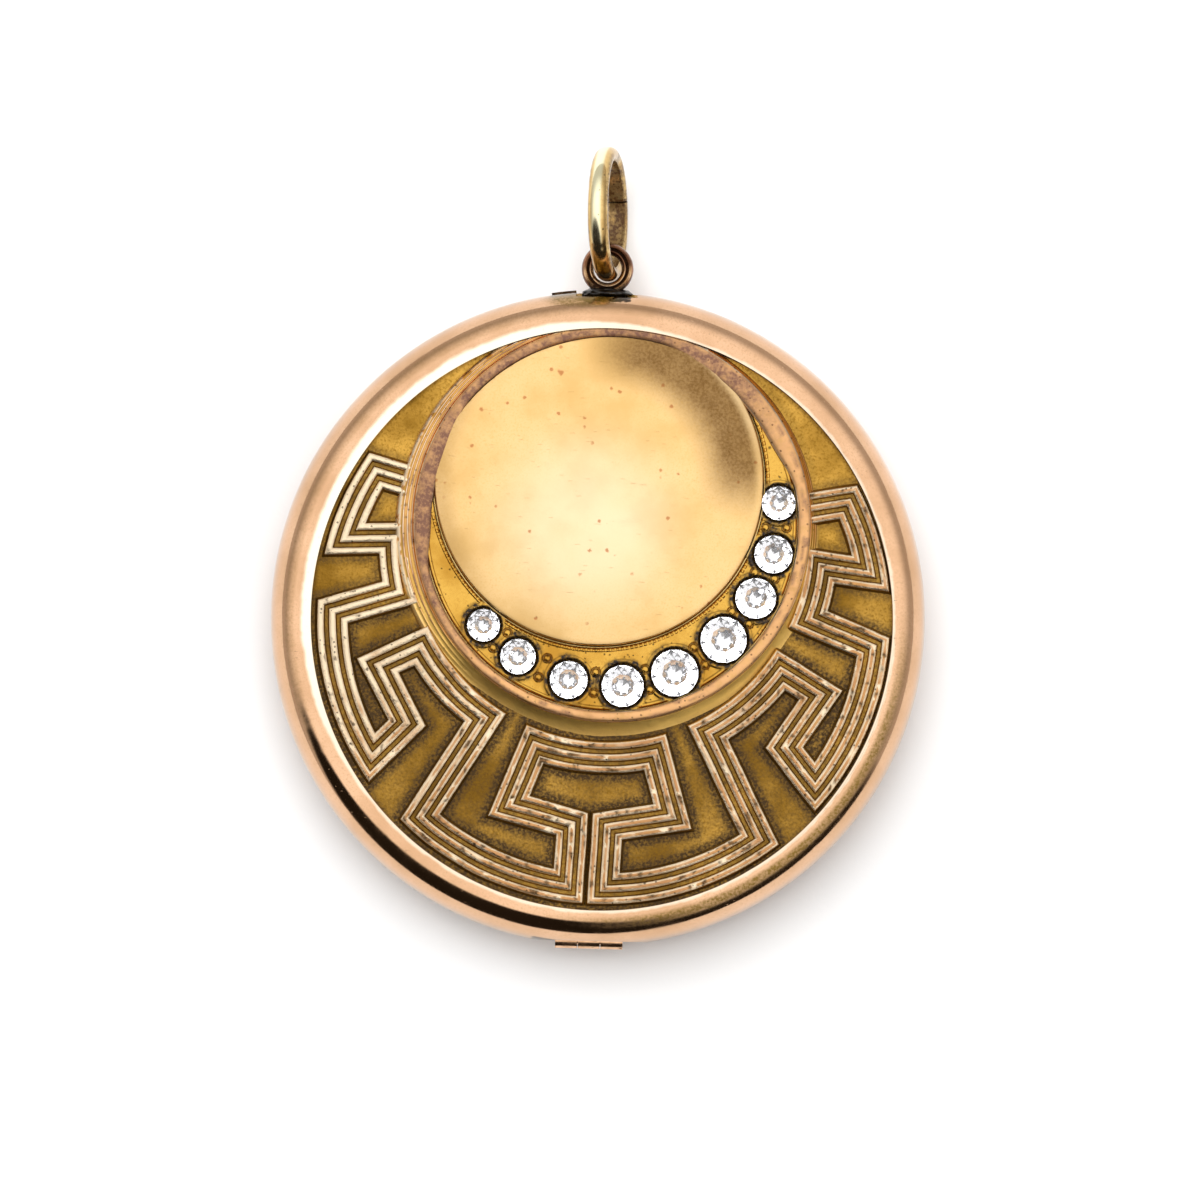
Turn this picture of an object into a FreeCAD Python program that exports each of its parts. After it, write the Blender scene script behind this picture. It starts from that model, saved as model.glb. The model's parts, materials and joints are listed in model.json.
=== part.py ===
"""Round hinged picture locket with a meander border and a stone-set crescent, in millimetres.

The locket lies on its back. The origin is the centre of the back's flat face, +Z points out
of the front and +Y points to the eye and its jump ring. The cover turns on a pin across the
bottom of the rim, parallel to X at the height of the seam.
"""
import FreeCAD, Part
import math
import operator
import os
import Sketcher

DRIVING_SIZES = {
    # the two halves of the case
    "case_radius": 16.0,
    "seam_height": 3.0,
    "seam_half_gap": 0.03,
    "rim_crest_height": 5.75,
    "rim_crest_inset": 1.48,
    "rim_side_height": 0.37,
    "rim_width": 1.95,
    "rim_wall": 0.5,
    "back_roll": 2.0,
    "back_gauge": 0.45,
    "case_wall": 0.6,
    # the front panel and its border
    "panel_bottom": 4.8,
    "panel_top": 5.3,
    "ridge_stand": 0.3,
    "ridge_width": 0.31,
    "ridge_pitch": 0.58,
    "border_shift": 0.28,
    "border_turn": -2.2,
    "rim_lane_radius": 13.2,
    "moon_lane_radius": 10.42,
    "moon_lane_rise": 3.6,
    # the moulding, the crescent and the moon
    "moulding_shift": 0.5,
    "moulding_rise": 4.55,
    "moulding_inner_radius": 9.12,
    "moulding_outer_radius": 10.0,
    "moulding_bead_height": 0.34,
    "moulding_bead_half_width": 0.28,
    "moon_radius": 8.08,
    "moon_shift": -0.13,
    "moon_rise": 6.62,
    "moon_edge_height": 5.45,
    "moon_top": 6.2,
    "moon_clearance": 0.03,
    "crescent_bottom": 5.0,
    "crescent_top": 5.7,
    # the stones
    "stone_circle_radius": 7.93,
    "stone_table_share": 0.58,
    "stone_pavilion_share": 0.38,
    "stone_crown_share": 0.14,
    "stone_girdle_height": 0.06,
    "stone_girdle_stand": 0.02,
    # the inside of the case half
    "snap_gauge": 0.4,
    "snap_stand": 0.4,
    "snap_base": 1.7,
    "ledge_gauge": 0.25,
    "ledge_width": 1.0,
    "card_gauge": 0.25,
    "window_gauge": 0.2,
    "frame_gauge": 0.5,
    "frame_width": 1.3,
    # the inside of the cover
    "lining_gauge": 0.25,
    "lining_top": 4.6,
    "bezel_bottom": 3.12,
    "bezel_outer_radius": 14.8,
    "bezel_gauge": 0.3,
    # the hinge
    "hinge_inset": 0.25,
    "barrel_radius": 0.4,
    "barrel_clearance": 0.05,
    "pin_radius": 0.2,
    "pin_clearance": 0.02,
    "knuckle_half_length": 0.53,
    "knuckle_gap": 0.04,
    "hinge_half_length": 1.65,
    "leaf_gauge": 0.4,
    "leaf_height": 1.0,
    # the thumbnail lip, the eye, its solder and the jump ring
    "lip_stand": 0.12,
    "lip_height": 0.4,
    "lip_sweep": 4.3,
    "eye_rise": 17.17,
    "eye_height": 3.1,
    "eye_hole_radius": 0.68,
    "eye_radius": 1.27,
    "eye_half_depth": 0.42,
    "notch_half_width": 1.5,
    "notch_depth": 0.34,
    "solder_half_width": 1.4,
    "solder_half_depth": 0.45,
    "solder_half_height": 1.0,
    "ring_radius": 2.87,
    "ring_wire_radius": 0.46,
    "ring_reach": 2.68,
    "ring_height": 3.3,
    "ring_lean": 9.8,
    "ring_turn": 1.3,
    "ring_cut": 0.1,
    "ring_cut_rise": 0.82,
}

# Each stone's bearing round the crescent in degrees, clockwise positive from the +X side of
# the moulding's centre, its diameter, and how far it sits outside the stones' circle.
STONES = [
    (-8.7, 1.68, 0.32),
    (8.9, 1.88, 0.13),
    (25.5, 2.00, 0),
    (44.1, 2.26, -0.06),
    (65.1, 2.30, -0.04),
    (84.2, 2.06, -0.03),
    (103.5, 1.86, -0.08),
    (123.4, 1.75, -0.06),
    (139.9, 1.62, -0.02),
]

# The left half of the meander's middle line, from its upper end to the middle of the panel,
# in the border's own frame. Each row is a corner and the way the line leaves it: "straight",
# "rim" along the lane beside the rim, or "moon" along the lane beside the moulding.
MEANDER_HALF = [
    (-9.56, 5.94, "straight"),
    (-11.55, 6.40, "rim"),
    (-12.86, 2.97, "straight"),
    (-10.41, 3.18, "moon"),
    (-9.97, 0.57, "straight"),
    (-13.19, -0.59, "rim"),
    (-10.81, -7.57, "straight"),
    (-9.19, -5.75, "straight"),
    (-10.80, -3.07, "straight"),
    (-8.79, -1.99, "moon"),
    (-5.45, -5.28, "straight"),
    (-8.27, -10.29, "rim"),
    (-0.86, -13.17, "straight"),
    (-0.86, -10.14, "straight"),
    (-3.99, -9.46, "straight"),
    (-2.93, -6.40, "moon"),
]

OPERATIONS = {"+": operator.add, "-": operator.sub, "*": operator.mul, "/": operator.truediv}


class Size:
    """A length or angle from the spreadsheet: its number, and the expression that gives it."""

    def __init__(self, value, text):
        self.value = value
        self.text = text

    def __add__(self, other):
        return joined(self, "+", other)

    def __sub__(self, other):
        return joined(self, "-", other)

    def __mul__(self, other):
        return joined(self, "*", other)

    def __truediv__(self, other):
        return joined(self, "/", other)


def as_size(quantity):
    """Return a Size for a Size or a plain number."""
    if isinstance(quantity, Size):
        return quantity
    return Size(float(quantity), repr(float(quantity)))


def joined(left, sign, right):
    """Return the Size that an arithmetic sign makes of two others."""
    left = as_size(left)
    right = as_size(right)
    value = OPERATIONS[sign](left.value, right.value)
    return Size(value, "(%s %s %s)" % (left.text, sign, right.text))


def make_sheet(doc):
    """Write the driving sizes to a spreadsheet and return them as Sizes by name."""
    sheet = doc.addObject("Spreadsheet::Sheet", "Sizes")
    for row, (alias, number) in enumerate(DRIVING_SIZES.items(), start=1):
        sheet.set("A%d" % row, alias.replace("_", " "))
        sheet.set("B%d" % row, str(number))
        sheet.setAlias("B%d" % row, alias)
    doc.recompute()
    return {alias: Size(float(sheet.get(alias)), "Sizes." + alias) for alias in DRIVING_SIZES}


doc = FreeCAD.newDocument("locket")
size = make_sheet(doc)


def bind(item, **properties):
    """Set properties of a document object from Sizes or plain numbers."""
    for name, quantity in properties.items():
        quantity = as_size(quantity)
        setattr(item, name, quantity.value)
        item.setExpression(name, quantity.text)


def place(item, x=0, y=0, z=0, rotation=None):
    """Put a document object at a point that follows the spreadsheet."""
    x, y, z = as_size(x), as_size(y), as_size(z)
    point = FreeCAD.Vector(x.value, y.value, z.value)
    item.Placement = FreeCAD.Placement(point, rotation or FreeCAD.Rotation())
    item.setExpression("Placement.Base.x", x.text)
    item.setExpression("Placement.Base.y", y.text)
    item.setExpression("Placement.Base.z", z.text)


def pin_point(sketch, geometry, vertex, point):
    """Hold a sketch point at a distance from the sketch's origin along each axis."""
    for kind, axis, quantity in (("DistanceX", -2, point[0]), ("DistanceY", -1, point[1])):
        quantity = as_size(quantity)
        if quantity.value == 0:
            sketch.addConstraint(Sketcher.Constraint("PointOnObject", geometry, vertex, axis))
            continue
        rule = Sketcher.Constraint(kind, -1, 1, geometry, vertex, quantity.value)
        index = sketch.addConstraint(rule)
        sketch.setExpression("Constraints[%d]" % index, quantity.text)


def flat(point):
    """Return the vector of a two-number point in a sketch."""
    return FreeCAD.Vector(as_size(point[0]).value, as_size(point[1]).value, 0)


def add_quarter(sketch, start, end, centre):
    """Add a quarter of an ellipse, anticlockwise from start to end, held by its centre."""
    first = flat(start) - flat(centre)
    last = flat(end) - flat(centre)
    across = max(abs(first.x), abs(last.x))
    along = max(abs(first.y), abs(last.y))
    middle = flat(centre)
    if across > along:
        major, minor, turn = FreeCAD.Vector(across, 0, 0), FreeCAD.Vector(0, along, 0), 0
    else:
        major, minor, turn = FreeCAD.Vector(0, along, 0), FreeCAD.Vector(-across, 0, 0), math.pi / 2
    ellipse = Part.Ellipse(middle + major, middle + minor, middle)
    begin = math.atan2(first.y, first.x) - turn
    geometry = sketch.addGeometry(Part.ArcOfEllipse(ellipse, begin, begin + math.pi / 2))
    sketch.exposeInternalGeometry(geometry)
    rule = "Horizontal" if across > along else "Vertical"
    sketch.addConstraint(Sketcher.Constraint(rule, geometry + 1))
    pin_point(sketch, geometry, 3, centre)
    return geometry


def revolved(name, profile, x=0, y=0):
    """Turn a closed profile about the vertical line at x, y and return its PartDesign body.

    The profile lists its corners anticlockwise as (radius, height). A third entry is the
    centre of the quarter ellipse that leads to the next corner.
    """
    body = doc.addObject("PartDesign::Body", name)
    sketch = body.newObject("Sketcher::SketchObject", name + "_profile")
    plane = next(item for item in body.Origin.OriginFeatures if item.Role == "XZ_Plane")
    sketch.AttachmentSupport = [(plane, "")]
    sketch.MapMode = "FlatFace"
    edges = []
    for index, corner in enumerate(profile):
        following = profile[(index + 1) % len(profile)]
        if len(corner) == 3:
            edges.append(add_quarter(sketch, corner, following, corner[2]))
        else:
            edges.append(sketch.addGeometry(Part.LineSegment(flat(corner), flat(following))))
    for index, corner in enumerate(profile):
        sketch.addConstraint(Sketcher.Constraint("Coincident", edges[index - 1], 2, edges[index], 1))
        pin_point(sketch, edges[index], 1, corner)
    turned = body.newObject("PartDesign::Revolution", name + "_turned")
    turned.Profile = sketch
    turned.ReferenceAxis = (sketch, ["V_Axis"])
    turned.Angle = 360
    place(body, x, y)
    return body


def cylinder(name, radius, low, high, x=0, y=0):
    """Return a vertical cylinder between two heights."""
    item = doc.addObject("Part::Cylinder", name)
    bind(item, Radius=radius, Height=as_size(high) - low)
    place(item, x, y, low)
    return item


def rod(name, radius, start, length):
    """Return a cylinder that lies along X on the hinge line, from start."""
    item = doc.addObject("Part::Cylinder", name)
    bind(item, Radius=radius, Height=length)
    along_x = FreeCAD.Rotation(FreeCAD.Vector(0, 1, 0), 90)
    place(item, start, hinge_y, size["seam_height"], along_x)
    return item


def block(name, low, spans):
    """Return a box from its low corner and its three spans."""
    item = doc.addObject("Part::Box", name)
    bind(item, Length=spans[0], Width=spans[1], Height=spans[2])
    place(item, *low)
    return item


def cut(name, base, *tools):
    """Return base with every tool taken away."""
    tool = tools[0] if len(tools) == 1 else fused(name + "_tools", *tools)
    item = doc.addObject("Part::Cut", name)
    item.Base = base
    item.Tool = tool
    return item


def fused(name, *shapes):
    """Return one shape made of several."""
    item = doc.addObject("Part::MultiFuse", name)
    item.Shapes = list(shapes)
    return item


def common(name, base, tool):
    """Return what two shapes share."""
    item = doc.addObject("Part::MultiCommon", name)
    item.Shapes = [base, tool]
    return item


case_bottom_of_seam = size["seam_height"] - size["seam_half_gap"]
cover_bottom_of_seam = size["seam_height"] + size["seam_half_gap"]
rim_inner_radius = size["case_radius"] - size["rim_width"]
rim_wall_radius = size["case_radius"] - size["rim_wall"]
case_wall_radius = size["case_radius"] - size["case_wall"]
snap_inner_radius = case_wall_radius - size["snap_gauge"]
bezel_inner_radius = size["bezel_outer_radius"] - size["bezel_gauge"]
hinge_y = as_size(0) - size["case_radius"] + size["hinge_inset"]

# How far cutting tools reach: past the case's side, past the face they cut, above the front.
TOOL_REACH = 4.0
TOOL_MARGIN = 1.0
TOOL_HEIGHT = 9.0


# ---- the hinge's shared shapes -----------------------------------------------------------

def hinge_clearance(name):
    """Return the round room that both halves leave about the barrels."""
    radius = size["barrel_radius"] + size["barrel_clearance"]
    half = size["hinge_half_length"] + size["knuckle_gap"]
    return rod(name, radius, as_size(0) - half, half * 2)


def hinge_flat(name):
    """Return the block that cuts both rims flat outside the hinge line."""
    half = size["hinge_half_length"] + TOOL_REACH
    low = (as_size(0) - half, hinge_y - TOOL_REACH, 0)
    return block(name, low, (half * 2, TOOL_REACH, TOOL_HEIGHT))


def leaf(name, start, length, low):
    """Return the small plate that joins a barrel to its half."""
    return block(name, (start, hinge_y, low), (length, size["leaf_gauge"], size["leaf_height"]))


cover_start = as_size(0) - size["knuckle_half_length"]
cover_length = size["knuckle_half_length"] * 2
case_length = size["hinge_half_length"] - size["knuckle_half_length"] - size["knuckle_gap"]
case_starts = [
    as_size(0) - size["hinge_half_length"],
    size["knuckle_half_length"] + size["knuckle_gap"],
]
case_leaf_low = case_bottom_of_seam - size["leaf_height"]


# ---- the case half -----------------------------------------------------------------------

def make_back_shell():
    """Make the plain stamped back with its rolled side."""
    gauge = size["back_gauge"]
    roll_start = size["case_radius"] - size["back_roll"]
    corner = case_wall_radius - size["back_gauge"] * 2
    profile = [
        (0, 0),
        (roll_start, 0, (roll_start, case_bottom_of_seam)),
        (size["case_radius"], case_bottom_of_seam),
        (case_wall_radius, case_bottom_of_seam),
        (case_wall_radius, size["snap_base"]),
        (corner, gauge),
        (0, gauge),
    ]
    blank = revolved("back_shell_blank", profile)
    leaves = [leaf("case_leaf_slot", start, case_length, case_leaf_low) for start in case_starts]
    cut("back_shell", blank, hinge_clearance("back_shell_room"), hinge_flat("back_flat"), *leaves)
    return blank


def make_snap_ring():
    """Make the ring that the cover snaps over, with the ledge that the picture lies on."""
    base = size["snap_base"]
    ledge_top = base + size["ledge_gauge"]
    top = size["seam_height"] + size["snap_stand"]
    ledge_radius = snap_inner_radius - size["ledge_width"]
    profile = [
        (ledge_radius, base),
        (case_wall_radius, base),
        (case_wall_radius, top),
        (snap_inner_radius, top),
        (snap_inner_radius, ledge_top),
        (ledge_radius, ledge_top),
    ]
    blank = revolved("snap_ring_blank", profile)
    half = size["hinge_half_length"] + size["knuckle_gap"] * 4
    low = (as_size(0) - half, hinge_y, case_leaf_low - size["knuckle_gap"])
    gap = block("snap_ring_gap", low, (half * 2, size["case_wall"] * 2, TOOL_REACH))
    cut("snap_ring", blank, gap)


def picture(prefix, radius, card_low, window_low):
    """Make a blank picture card and the thin clear window that covers it."""
    cylinder(prefix + "_photo_card", radius, card_low, card_low + size["card_gauge"])
    cylinder(prefix + "_window", radius, window_low, window_low + size["window_gauge"])


def make_case_picture():
    """Make the card, window and frame that lie in the case half, frame uppermost."""
    card_low = size["snap_base"] + size["ledge_gauge"]
    window_low = card_low + size["card_gauge"]
    picture("case", snap_inner_radius, card_low, window_low)
    low = window_low + size["window_gauge"]
    inner = snap_inner_radius - size["frame_width"]
    crest = snap_inner_radius - size["frame_width"] / 2
    top = low + size["frame_gauge"]
    shoulder = low + size["frame_gauge"] / 2
    profile = [
        (inner, low),
        (snap_inner_radius, low),
        (snap_inner_radius, shoulder, (crest, shoulder)),
        (crest, top, (crest, shoulder)),
        (inner, shoulder),
    ]
    revolved("case_photo_frame", profile)


# ---- the cover ---------------------------------------------------------------------------

def make_cover_rim():
    """Make the rolled rim of the cover, notched at the eye and relieved at the hinge."""
    outer = size["case_radius"]
    crest = outer - size["rim_crest_inset"]
    top = size["rim_crest_height"]
    roll_low = cover_bottom_of_seam + size["rim_side_height"]
    profile = [
        (rim_wall_radius, cover_bottom_of_seam),
        (outer, cover_bottom_of_seam),
        (outer, roll_low, (crest, roll_low)),
        (crest, top, (crest, size["panel_top"])),
        (rim_inner_radius, size["panel_top"]),
        (rim_inner_radius, size["lining_top"]),
        (rim_wall_radius, size["lining_top"]),
    ]
    blank = revolved("cover_rim_blank", profile)
    half = size["notch_half_width"]
    low = (as_size(0) - half, outer - size["notch_depth"], size["seam_height"])
    notch = block("eye_notch", low, (half * 2, TOOL_REACH, TOOL_REACH))
    slot = leaf("cover_leaf_slot", cover_start, cover_length, size["seam_height"])
    cut("cover_rim", blank, hinge_clearance("cover_room"), hinge_flat("cover_flat"), notch, slot)
    return blank


def make_nail_lip(rim_blank):
    """Make the small lip beside the eye that a thumbnail lifts."""
    radius = size["case_radius"] + size["lip_stand"]
    low = cover_bottom_of_seam
    sector = cylinder("lip_sector", radius, low, low + size["lip_height"])
    start = 90 + math.degrees(math.asin(size["notch_half_width"].value / radius.value))
    bind(sector, Angle=size["lip_sweep"])
    sector.Placement.Rotation = FreeCAD.Rotation(FreeCAD.Vector(0, 0, 1), start)
    core = cylinder("lip_core", rim_wall_radius, 0, low + size["lip_height"] + TOOL_MARGIN)
    cut("nail_lip", sector, rim_blank, core)


def meander_corners():
    """Return the corners of the whole meander and the lane of each stretch between them."""
    lanes = {
        "straight": None,
        "rim": (FreeCAD.Vector(0, 0, 0), size["rim_lane_radius"].value),
        "moon": (FreeCAD.Vector(0, size["moon_lane_rise"].value, 0), size["moon_lane_radius"].value),
    }
    left = [FreeCAD.Vector(x, y, 0) for x, y, _ in MEANDER_HALF]
    half = [lanes[way] for _, _, way in MEANDER_HALF]
    for index, lane in enumerate(half):
        for corner in (index, index + 1):
            if lane and corner < len(left):
                centre, radius = lane
                left[corner] = centre + (left[corner] - centre).normalize() * radius
    right = [FreeCAD.Vector(-point.x, point.y, 0) for point in reversed(left)]
    return left + right, half + half[-2::-1]


def left_of(first, last):
    """Return the unit vector that points left of the way from first to last."""
    way = (last - first).normalize()
    return FreeCAD.Vector(-way.y, way.x, 0)


def moved_curve(first, last, lane, distance):
    """Return the endless line or circle that runs to the left of one stretch."""
    side = left_of(first, last) * distance
    if lane is None:
        return Part.Line(first + side, last + side)
    centre, radius = lane
    inward = (centre - first).dot(side) > 0
    radius += -abs(distance) if inward else abs(distance)
    return Part.Circle(centre, FreeCAD.Vector(0, 0, 1), radius)


def meeting_point(one, two, near):
    """Return the point where two curves cross that is nearest to a corner."""
    crossings = one.intersect(two)
    points = [FreeCAD.Vector(point.X, point.Y, 0) for point in crossings]
    return min(points, key=lambda point: point.distanceToPoint(near))


def stretch(first, last, lane):
    """Return the edge that joins two corners along a lane."""
    if lane is None:
        return Part.LineSegment(first, last).toShape()
    centre = lane[0]
    bulge = ((first + last) * 0.5 - centre).normalize() * first.distanceToPoint(centre)
    return Part.Arc(first, centre + bulge, last).toShape()


def moved_corners(corners, lanes, distance):
    """Return the corners of the line that runs beside the meander at a distance."""
    pairs = list(zip(corners, corners[1:], lanes))
    curves = [moved_curve(first, last, lane, distance) for first, last, lane in pairs]
    start = corners[0] + left_of(corners[0], corners[1]) * distance
    end = corners[-1] + left_of(corners[-2], corners[-1]) * distance
    between = [
        meeting_point(one, two, corner)
        for one, two, corner in zip(curves, curves[1:], corners[1:])
    ]
    return [start] + between + [end]


def ridge(corners, lanes, offset):
    """Return one raised line of the meander, beside its middle line at an offset."""
    half = size["ridge_width"].value / 2
    inner = moved_corners(corners, lanes, offset - half)
    outer = moved_corners(corners, lanes, offset + half)
    edges = [stretch(*side) for side in zip(inner, inner[1:], lanes)]
    edges.append(stretch(inner[-1], outer[-1], None))
    edges += [stretch(*side) for side in zip(outer[::-1], outer[-2::-1], lanes[::-1])]
    edges.append(stretch(outer[0], inner[0], None))
    return Part.Face(Part.Wire(edges)).extrude(FreeCAD.Vector(0, 0, size["ridge_stand"].value))


def make_key_panel():
    """Make the front panel with the three raised lines of the meander."""
    corners, lanes = meander_corners()
    pitch = size["ridge_pitch"].value
    lines = doc.addObject("Part::Feature", "meander_lines")
    ridges = [ridge(corners, lanes, offset) for offset in (-pitch, 0, pitch)]
    lines.Shape = Part.Compound(ridges)
    turn = FreeCAD.Rotation(FreeCAD.Vector(0, 0, 1), size["border_turn"].value)
    place(lines, size["border_shift"], 0, size["panel_top"], turn)
    plate = cylinder("panel_plate", rim_inner_radius, size["panel_bottom"], size["panel_top"])
    raised = fused("panel_raised", plate, lines)
    reach = size["panel_top"] + size["ridge_stand"] + TOOL_MARGIN
    trim = cylinder("panel_trim", rim_inner_radius, size["panel_bottom"], reach)
    trimmed = common("panel_trimmed", raised, trim)
    window = cylinder(
        "moulding_opening", size["moulding_outer_radius"], size["panel_bottom"] - TOOL_MARGIN, reach,
        size["moulding_shift"], size["moulding_rise"],
    )
    cut("key_panel", trimmed, window)


def moulding_cylinder(name):
    """Return the upright cylinder inside the moulding, through the whole front."""
    return cylinder(
        name, size["moulding_inner_radius"], size["panel_bottom"], size["moon_top"] + TOOL_MARGIN,
        size["moulding_shift"], size["moulding_rise"],
    )


def make_moulding():
    """Make the rounded ring round the crescent and moon, trimmed where it meets the rim."""
    inner = size["moulding_inner_radius"]
    outer = size["moulding_outer_radius"]
    crest = inner + size["moulding_bead_half_width"]
    bead_foot = size["panel_top"] + size["ridge_stand"] / 2
    top = bead_foot + size["moulding_bead_height"]
    bead_side = crest + size["moulding_bead_half_width"]
    profile = [
        (inner, size["panel_bottom"]),
        (outer, size["panel_bottom"]),
        (outer, size["panel_top"]),
        (bead_side, bead_foot, (crest, bead_foot)),
        (crest, top, (crest, bead_foot)),
        (inner, bead_foot),
    ]
    ring = revolved("moulding_blank", profile, size["moulding_shift"], size["moulding_rise"])
    trim = cylinder("moulding_trim", rim_inner_radius, size["panel_bottom"], size["moon_top"])
    common("moulding_ring", ring, trim)


def make_moon():
    """Make the domed plain disc, trimmed by the moulding."""
    edge = size["moon_edge_height"]
    profile = [
        (0, size["panel_bottom"]),
        (size["moon_radius"], size["panel_bottom"]),
        (size["moon_radius"], edge, (0, edge)),
        (0, size["moon_top"]),
    ]
    dome = revolved("moon_blank", profile, size["moon_shift"], size["moon_rise"])
    common("moon_disc", dome, moulding_cylinder("moon_trim"))


def stone_place(bearing, outward):
    """Return the centre of the stone at a clockwise bearing from +X."""
    angle = math.radians(-bearing)
    reach = size["stone_circle_radius"] + outward
    x = size["moulding_shift"] + reach * math.cos(angle)
    y = size["moulding_rise"] + reach * math.sin(angle)
    return x, y


def make_stone(index, bearing, diameter, outward):
    """Make one faceted paste stone as a crown, a girdle and a pavilion."""
    radius = as_size(diameter / 2)
    girdle_low = size["crescent_top"] - size["stone_girdle_stand"]
    girdle_high = girdle_low + size["stone_girdle_height"]
    table = girdle_high + size["stone_crown_share"] * diameter
    profile = [
        (0, girdle_low - size["stone_pavilion_share"] * diameter),
        (radius, girdle_low),
        (radius, girdle_high),
        (radius * size["stone_table_share"], table),
        (0, table),
    ]
    revolved("paste_stone_%d" % index, profile, *stone_place(bearing, outward))


def make_crescent():
    """Make the crescent plate with a seat for each stone."""
    low = size["crescent_bottom"]
    high = size["crescent_top"]
    tool_low = low - TOOL_MARGIN
    tool_high = high + TOOL_MARGIN
    full = cylinder(
        "crescent_blank", size["moulding_inner_radius"], low, high,
        size["moulding_shift"], size["moulding_rise"],
    )
    moon_room = cylinder(
        "moon_room", size["moon_radius"] + size["moon_clearance"], tool_low, tool_high,
        size["moon_shift"], size["moon_rise"],
    )
    seats = [
        cylinder("stone_seat", diameter / 2, tool_low, tool_high, *stone_place(bearing, outward))
        for bearing, diameter, outward in STONES
    ]
    cut("crescent_plate", full, moon_room, *seats)


def make_cover_inside():
    """Make the cover's lining plate, its bezel and its picture, frame lowest."""
    top = size["lining_top"]
    bottom = top - size["lining_gauge"]
    cylinder("cover_lining", rim_wall_radius, bottom, top)
    profile = [
        (bezel_inner_radius, size["bezel_bottom"]),
        (size["bezel_outer_radius"], size["bezel_bottom"]),
        (size["bezel_outer_radius"], bottom),
        (bezel_inner_radius, bottom),
    ]
    revolved("cover_bezel", profile)
    card_low = bottom - size["card_gauge"]
    window_low = card_low - size["window_gauge"]
    picture("cover", bezel_inner_radius, card_low, window_low)
    low = window_low - size["frame_gauge"]
    shoulder = window_low - size["frame_gauge"] / 2
    inner = bezel_inner_radius - size["frame_width"]
    crest = bezel_inner_radius - size["frame_width"] / 2
    profile = [
        (inner, shoulder, (crest, shoulder)),
        (crest, low, (crest, shoulder)),
        (bezel_inner_radius, shoulder),
        (bezel_inner_radius, window_low),
        (inner, window_low),
    ]
    revolved("cover_photo_frame", profile)


# ---- the hinge, the eye and the jump ring ------------------------------------------------

def knuckle(name, start, length, bore_radius, leaf_low):
    """Return a barrel with its leaf and its bore."""
    barrel = rod(name + "_barrel", size["barrel_radius"], start, length)
    plate = leaf(name + "_leaf", start, length, leaf_low)
    bore = rod(name + "_bore", bore_radius, start - TOOL_MARGIN, length + TOOL_MARGIN * 2)
    return cut(name, fused(name + "_solid", barrel, plate), bore)


def make_hinge():
    """Make the cover's knuckle, the case's two knuckles and the pin through them."""
    running_bore = size["pin_radius"] + size["pin_clearance"]
    knuckle("cover_knuckle", cover_start, cover_length, running_bore, size["seam_height"])
    outer = [
        knuckle("case_knuckle_%d" % index, start, case_length, size["pin_radius"], case_leaf_low)
        for index, start in enumerate(case_starts, start=1)
    ]
    pair = doc.addObject("Part::Compound", "case_knuckles")
    pair.Links = outer
    half = size["hinge_half_length"]
    rod("hinge_pin", size["pin_radius"], as_size(0) - half, half * 2)


def make_eye(back_blank):
    """Make the round eye that stands out from the top of the case, its foot fitted to it."""
    inner = size["eye_hole_radius"]
    outer = size["eye_radius"]
    middle = (inner + outer) / 2
    centre = (middle, size["eye_height"])
    profile = [
        (outer, size["eye_height"], centre),
        (middle, size["eye_height"] + size["eye_half_depth"], centre),
        (inner, size["eye_height"], centre),
        (middle, size["eye_height"] - size["eye_half_depth"], centre),
    ]
    return cut("eye", revolved("eye_blank", profile, 0, size["eye_rise"]), back_blank)


def make_solder(back_blank, eye):
    """Make the lump of solder that holds the eye to the case, clear of the cover."""
    lump = doc.addObject("Part::Ellipsoid", "solder_lump")
    bind(
        lump, Radius1=size["solder_half_height"], Radius2=size["solder_half_width"],
        Radius3=size["solder_half_depth"],
    )
    place(lump, 0, size["case_radius"] - size["seam_half_gap"] * 2, size["seam_height"])
    reach = size["case_radius"] - size["notch_depth"] + size["barrel_clearance"]
    half = size["notch_half_width"]
    low = (as_size(0) - half, reach - TOOL_REACH, 0)
    cover_room = block("solder_trim", low, (half * 2, TOOL_REACH, TOOL_HEIGHT))
    cut("eye_solder", lump, back_blank, eye, cover_room)


def make_jump_ring():
    """Make the open jump ring, leaning as it hangs through the eye."""
    lean = FreeCAD.Rotation(FreeCAD.Vector(0, 1, 0), 90 - size["ring_lean"].value)
    turn = FreeCAD.Rotation(FreeCAD.Vector(0, 0, 1), size["ring_turn"].value)
    angle = math.radians(size["ring_turn"].value)
    x = size["ring_reach"] * -math.sin(angle)
    y = size["eye_rise"] + size["ring_reach"] * math.cos(angle)
    wire = doc.addObject("Part::Torus", "ring_wire")
    bind(wire, Radius1=size["ring_radius"], Radius2=size["ring_wire_radius"])
    place(wire, x, y, size["ring_height"], turn.multiply(lean))
    low = (x - size["ring_wire_radius"], y + size["ring_cut_rise"], 0)
    room = size["ring_wire_radius"] * 2 + TOOL_MARGIN
    slit = block("ring_slit", low, (room, size["ring_cut"], size["ring_height"] / 2))
    cut("jump_ring", wire, slit)


def build():
    """Make every sub-part."""
    back_blank = make_back_shell()
    make_snap_ring()
    make_case_picture()
    rim_blank = make_cover_rim()
    make_nail_lip(rim_blank)
    make_key_panel()
    make_moulding()
    make_moon()
    make_crescent()
    for index, stone in enumerate(STONES, start=1):
        make_stone(index, *stone)
    make_cover_inside()
    make_hinge()
    make_solder(back_blank, make_eye(back_blank))
    make_jump_ring()


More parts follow.
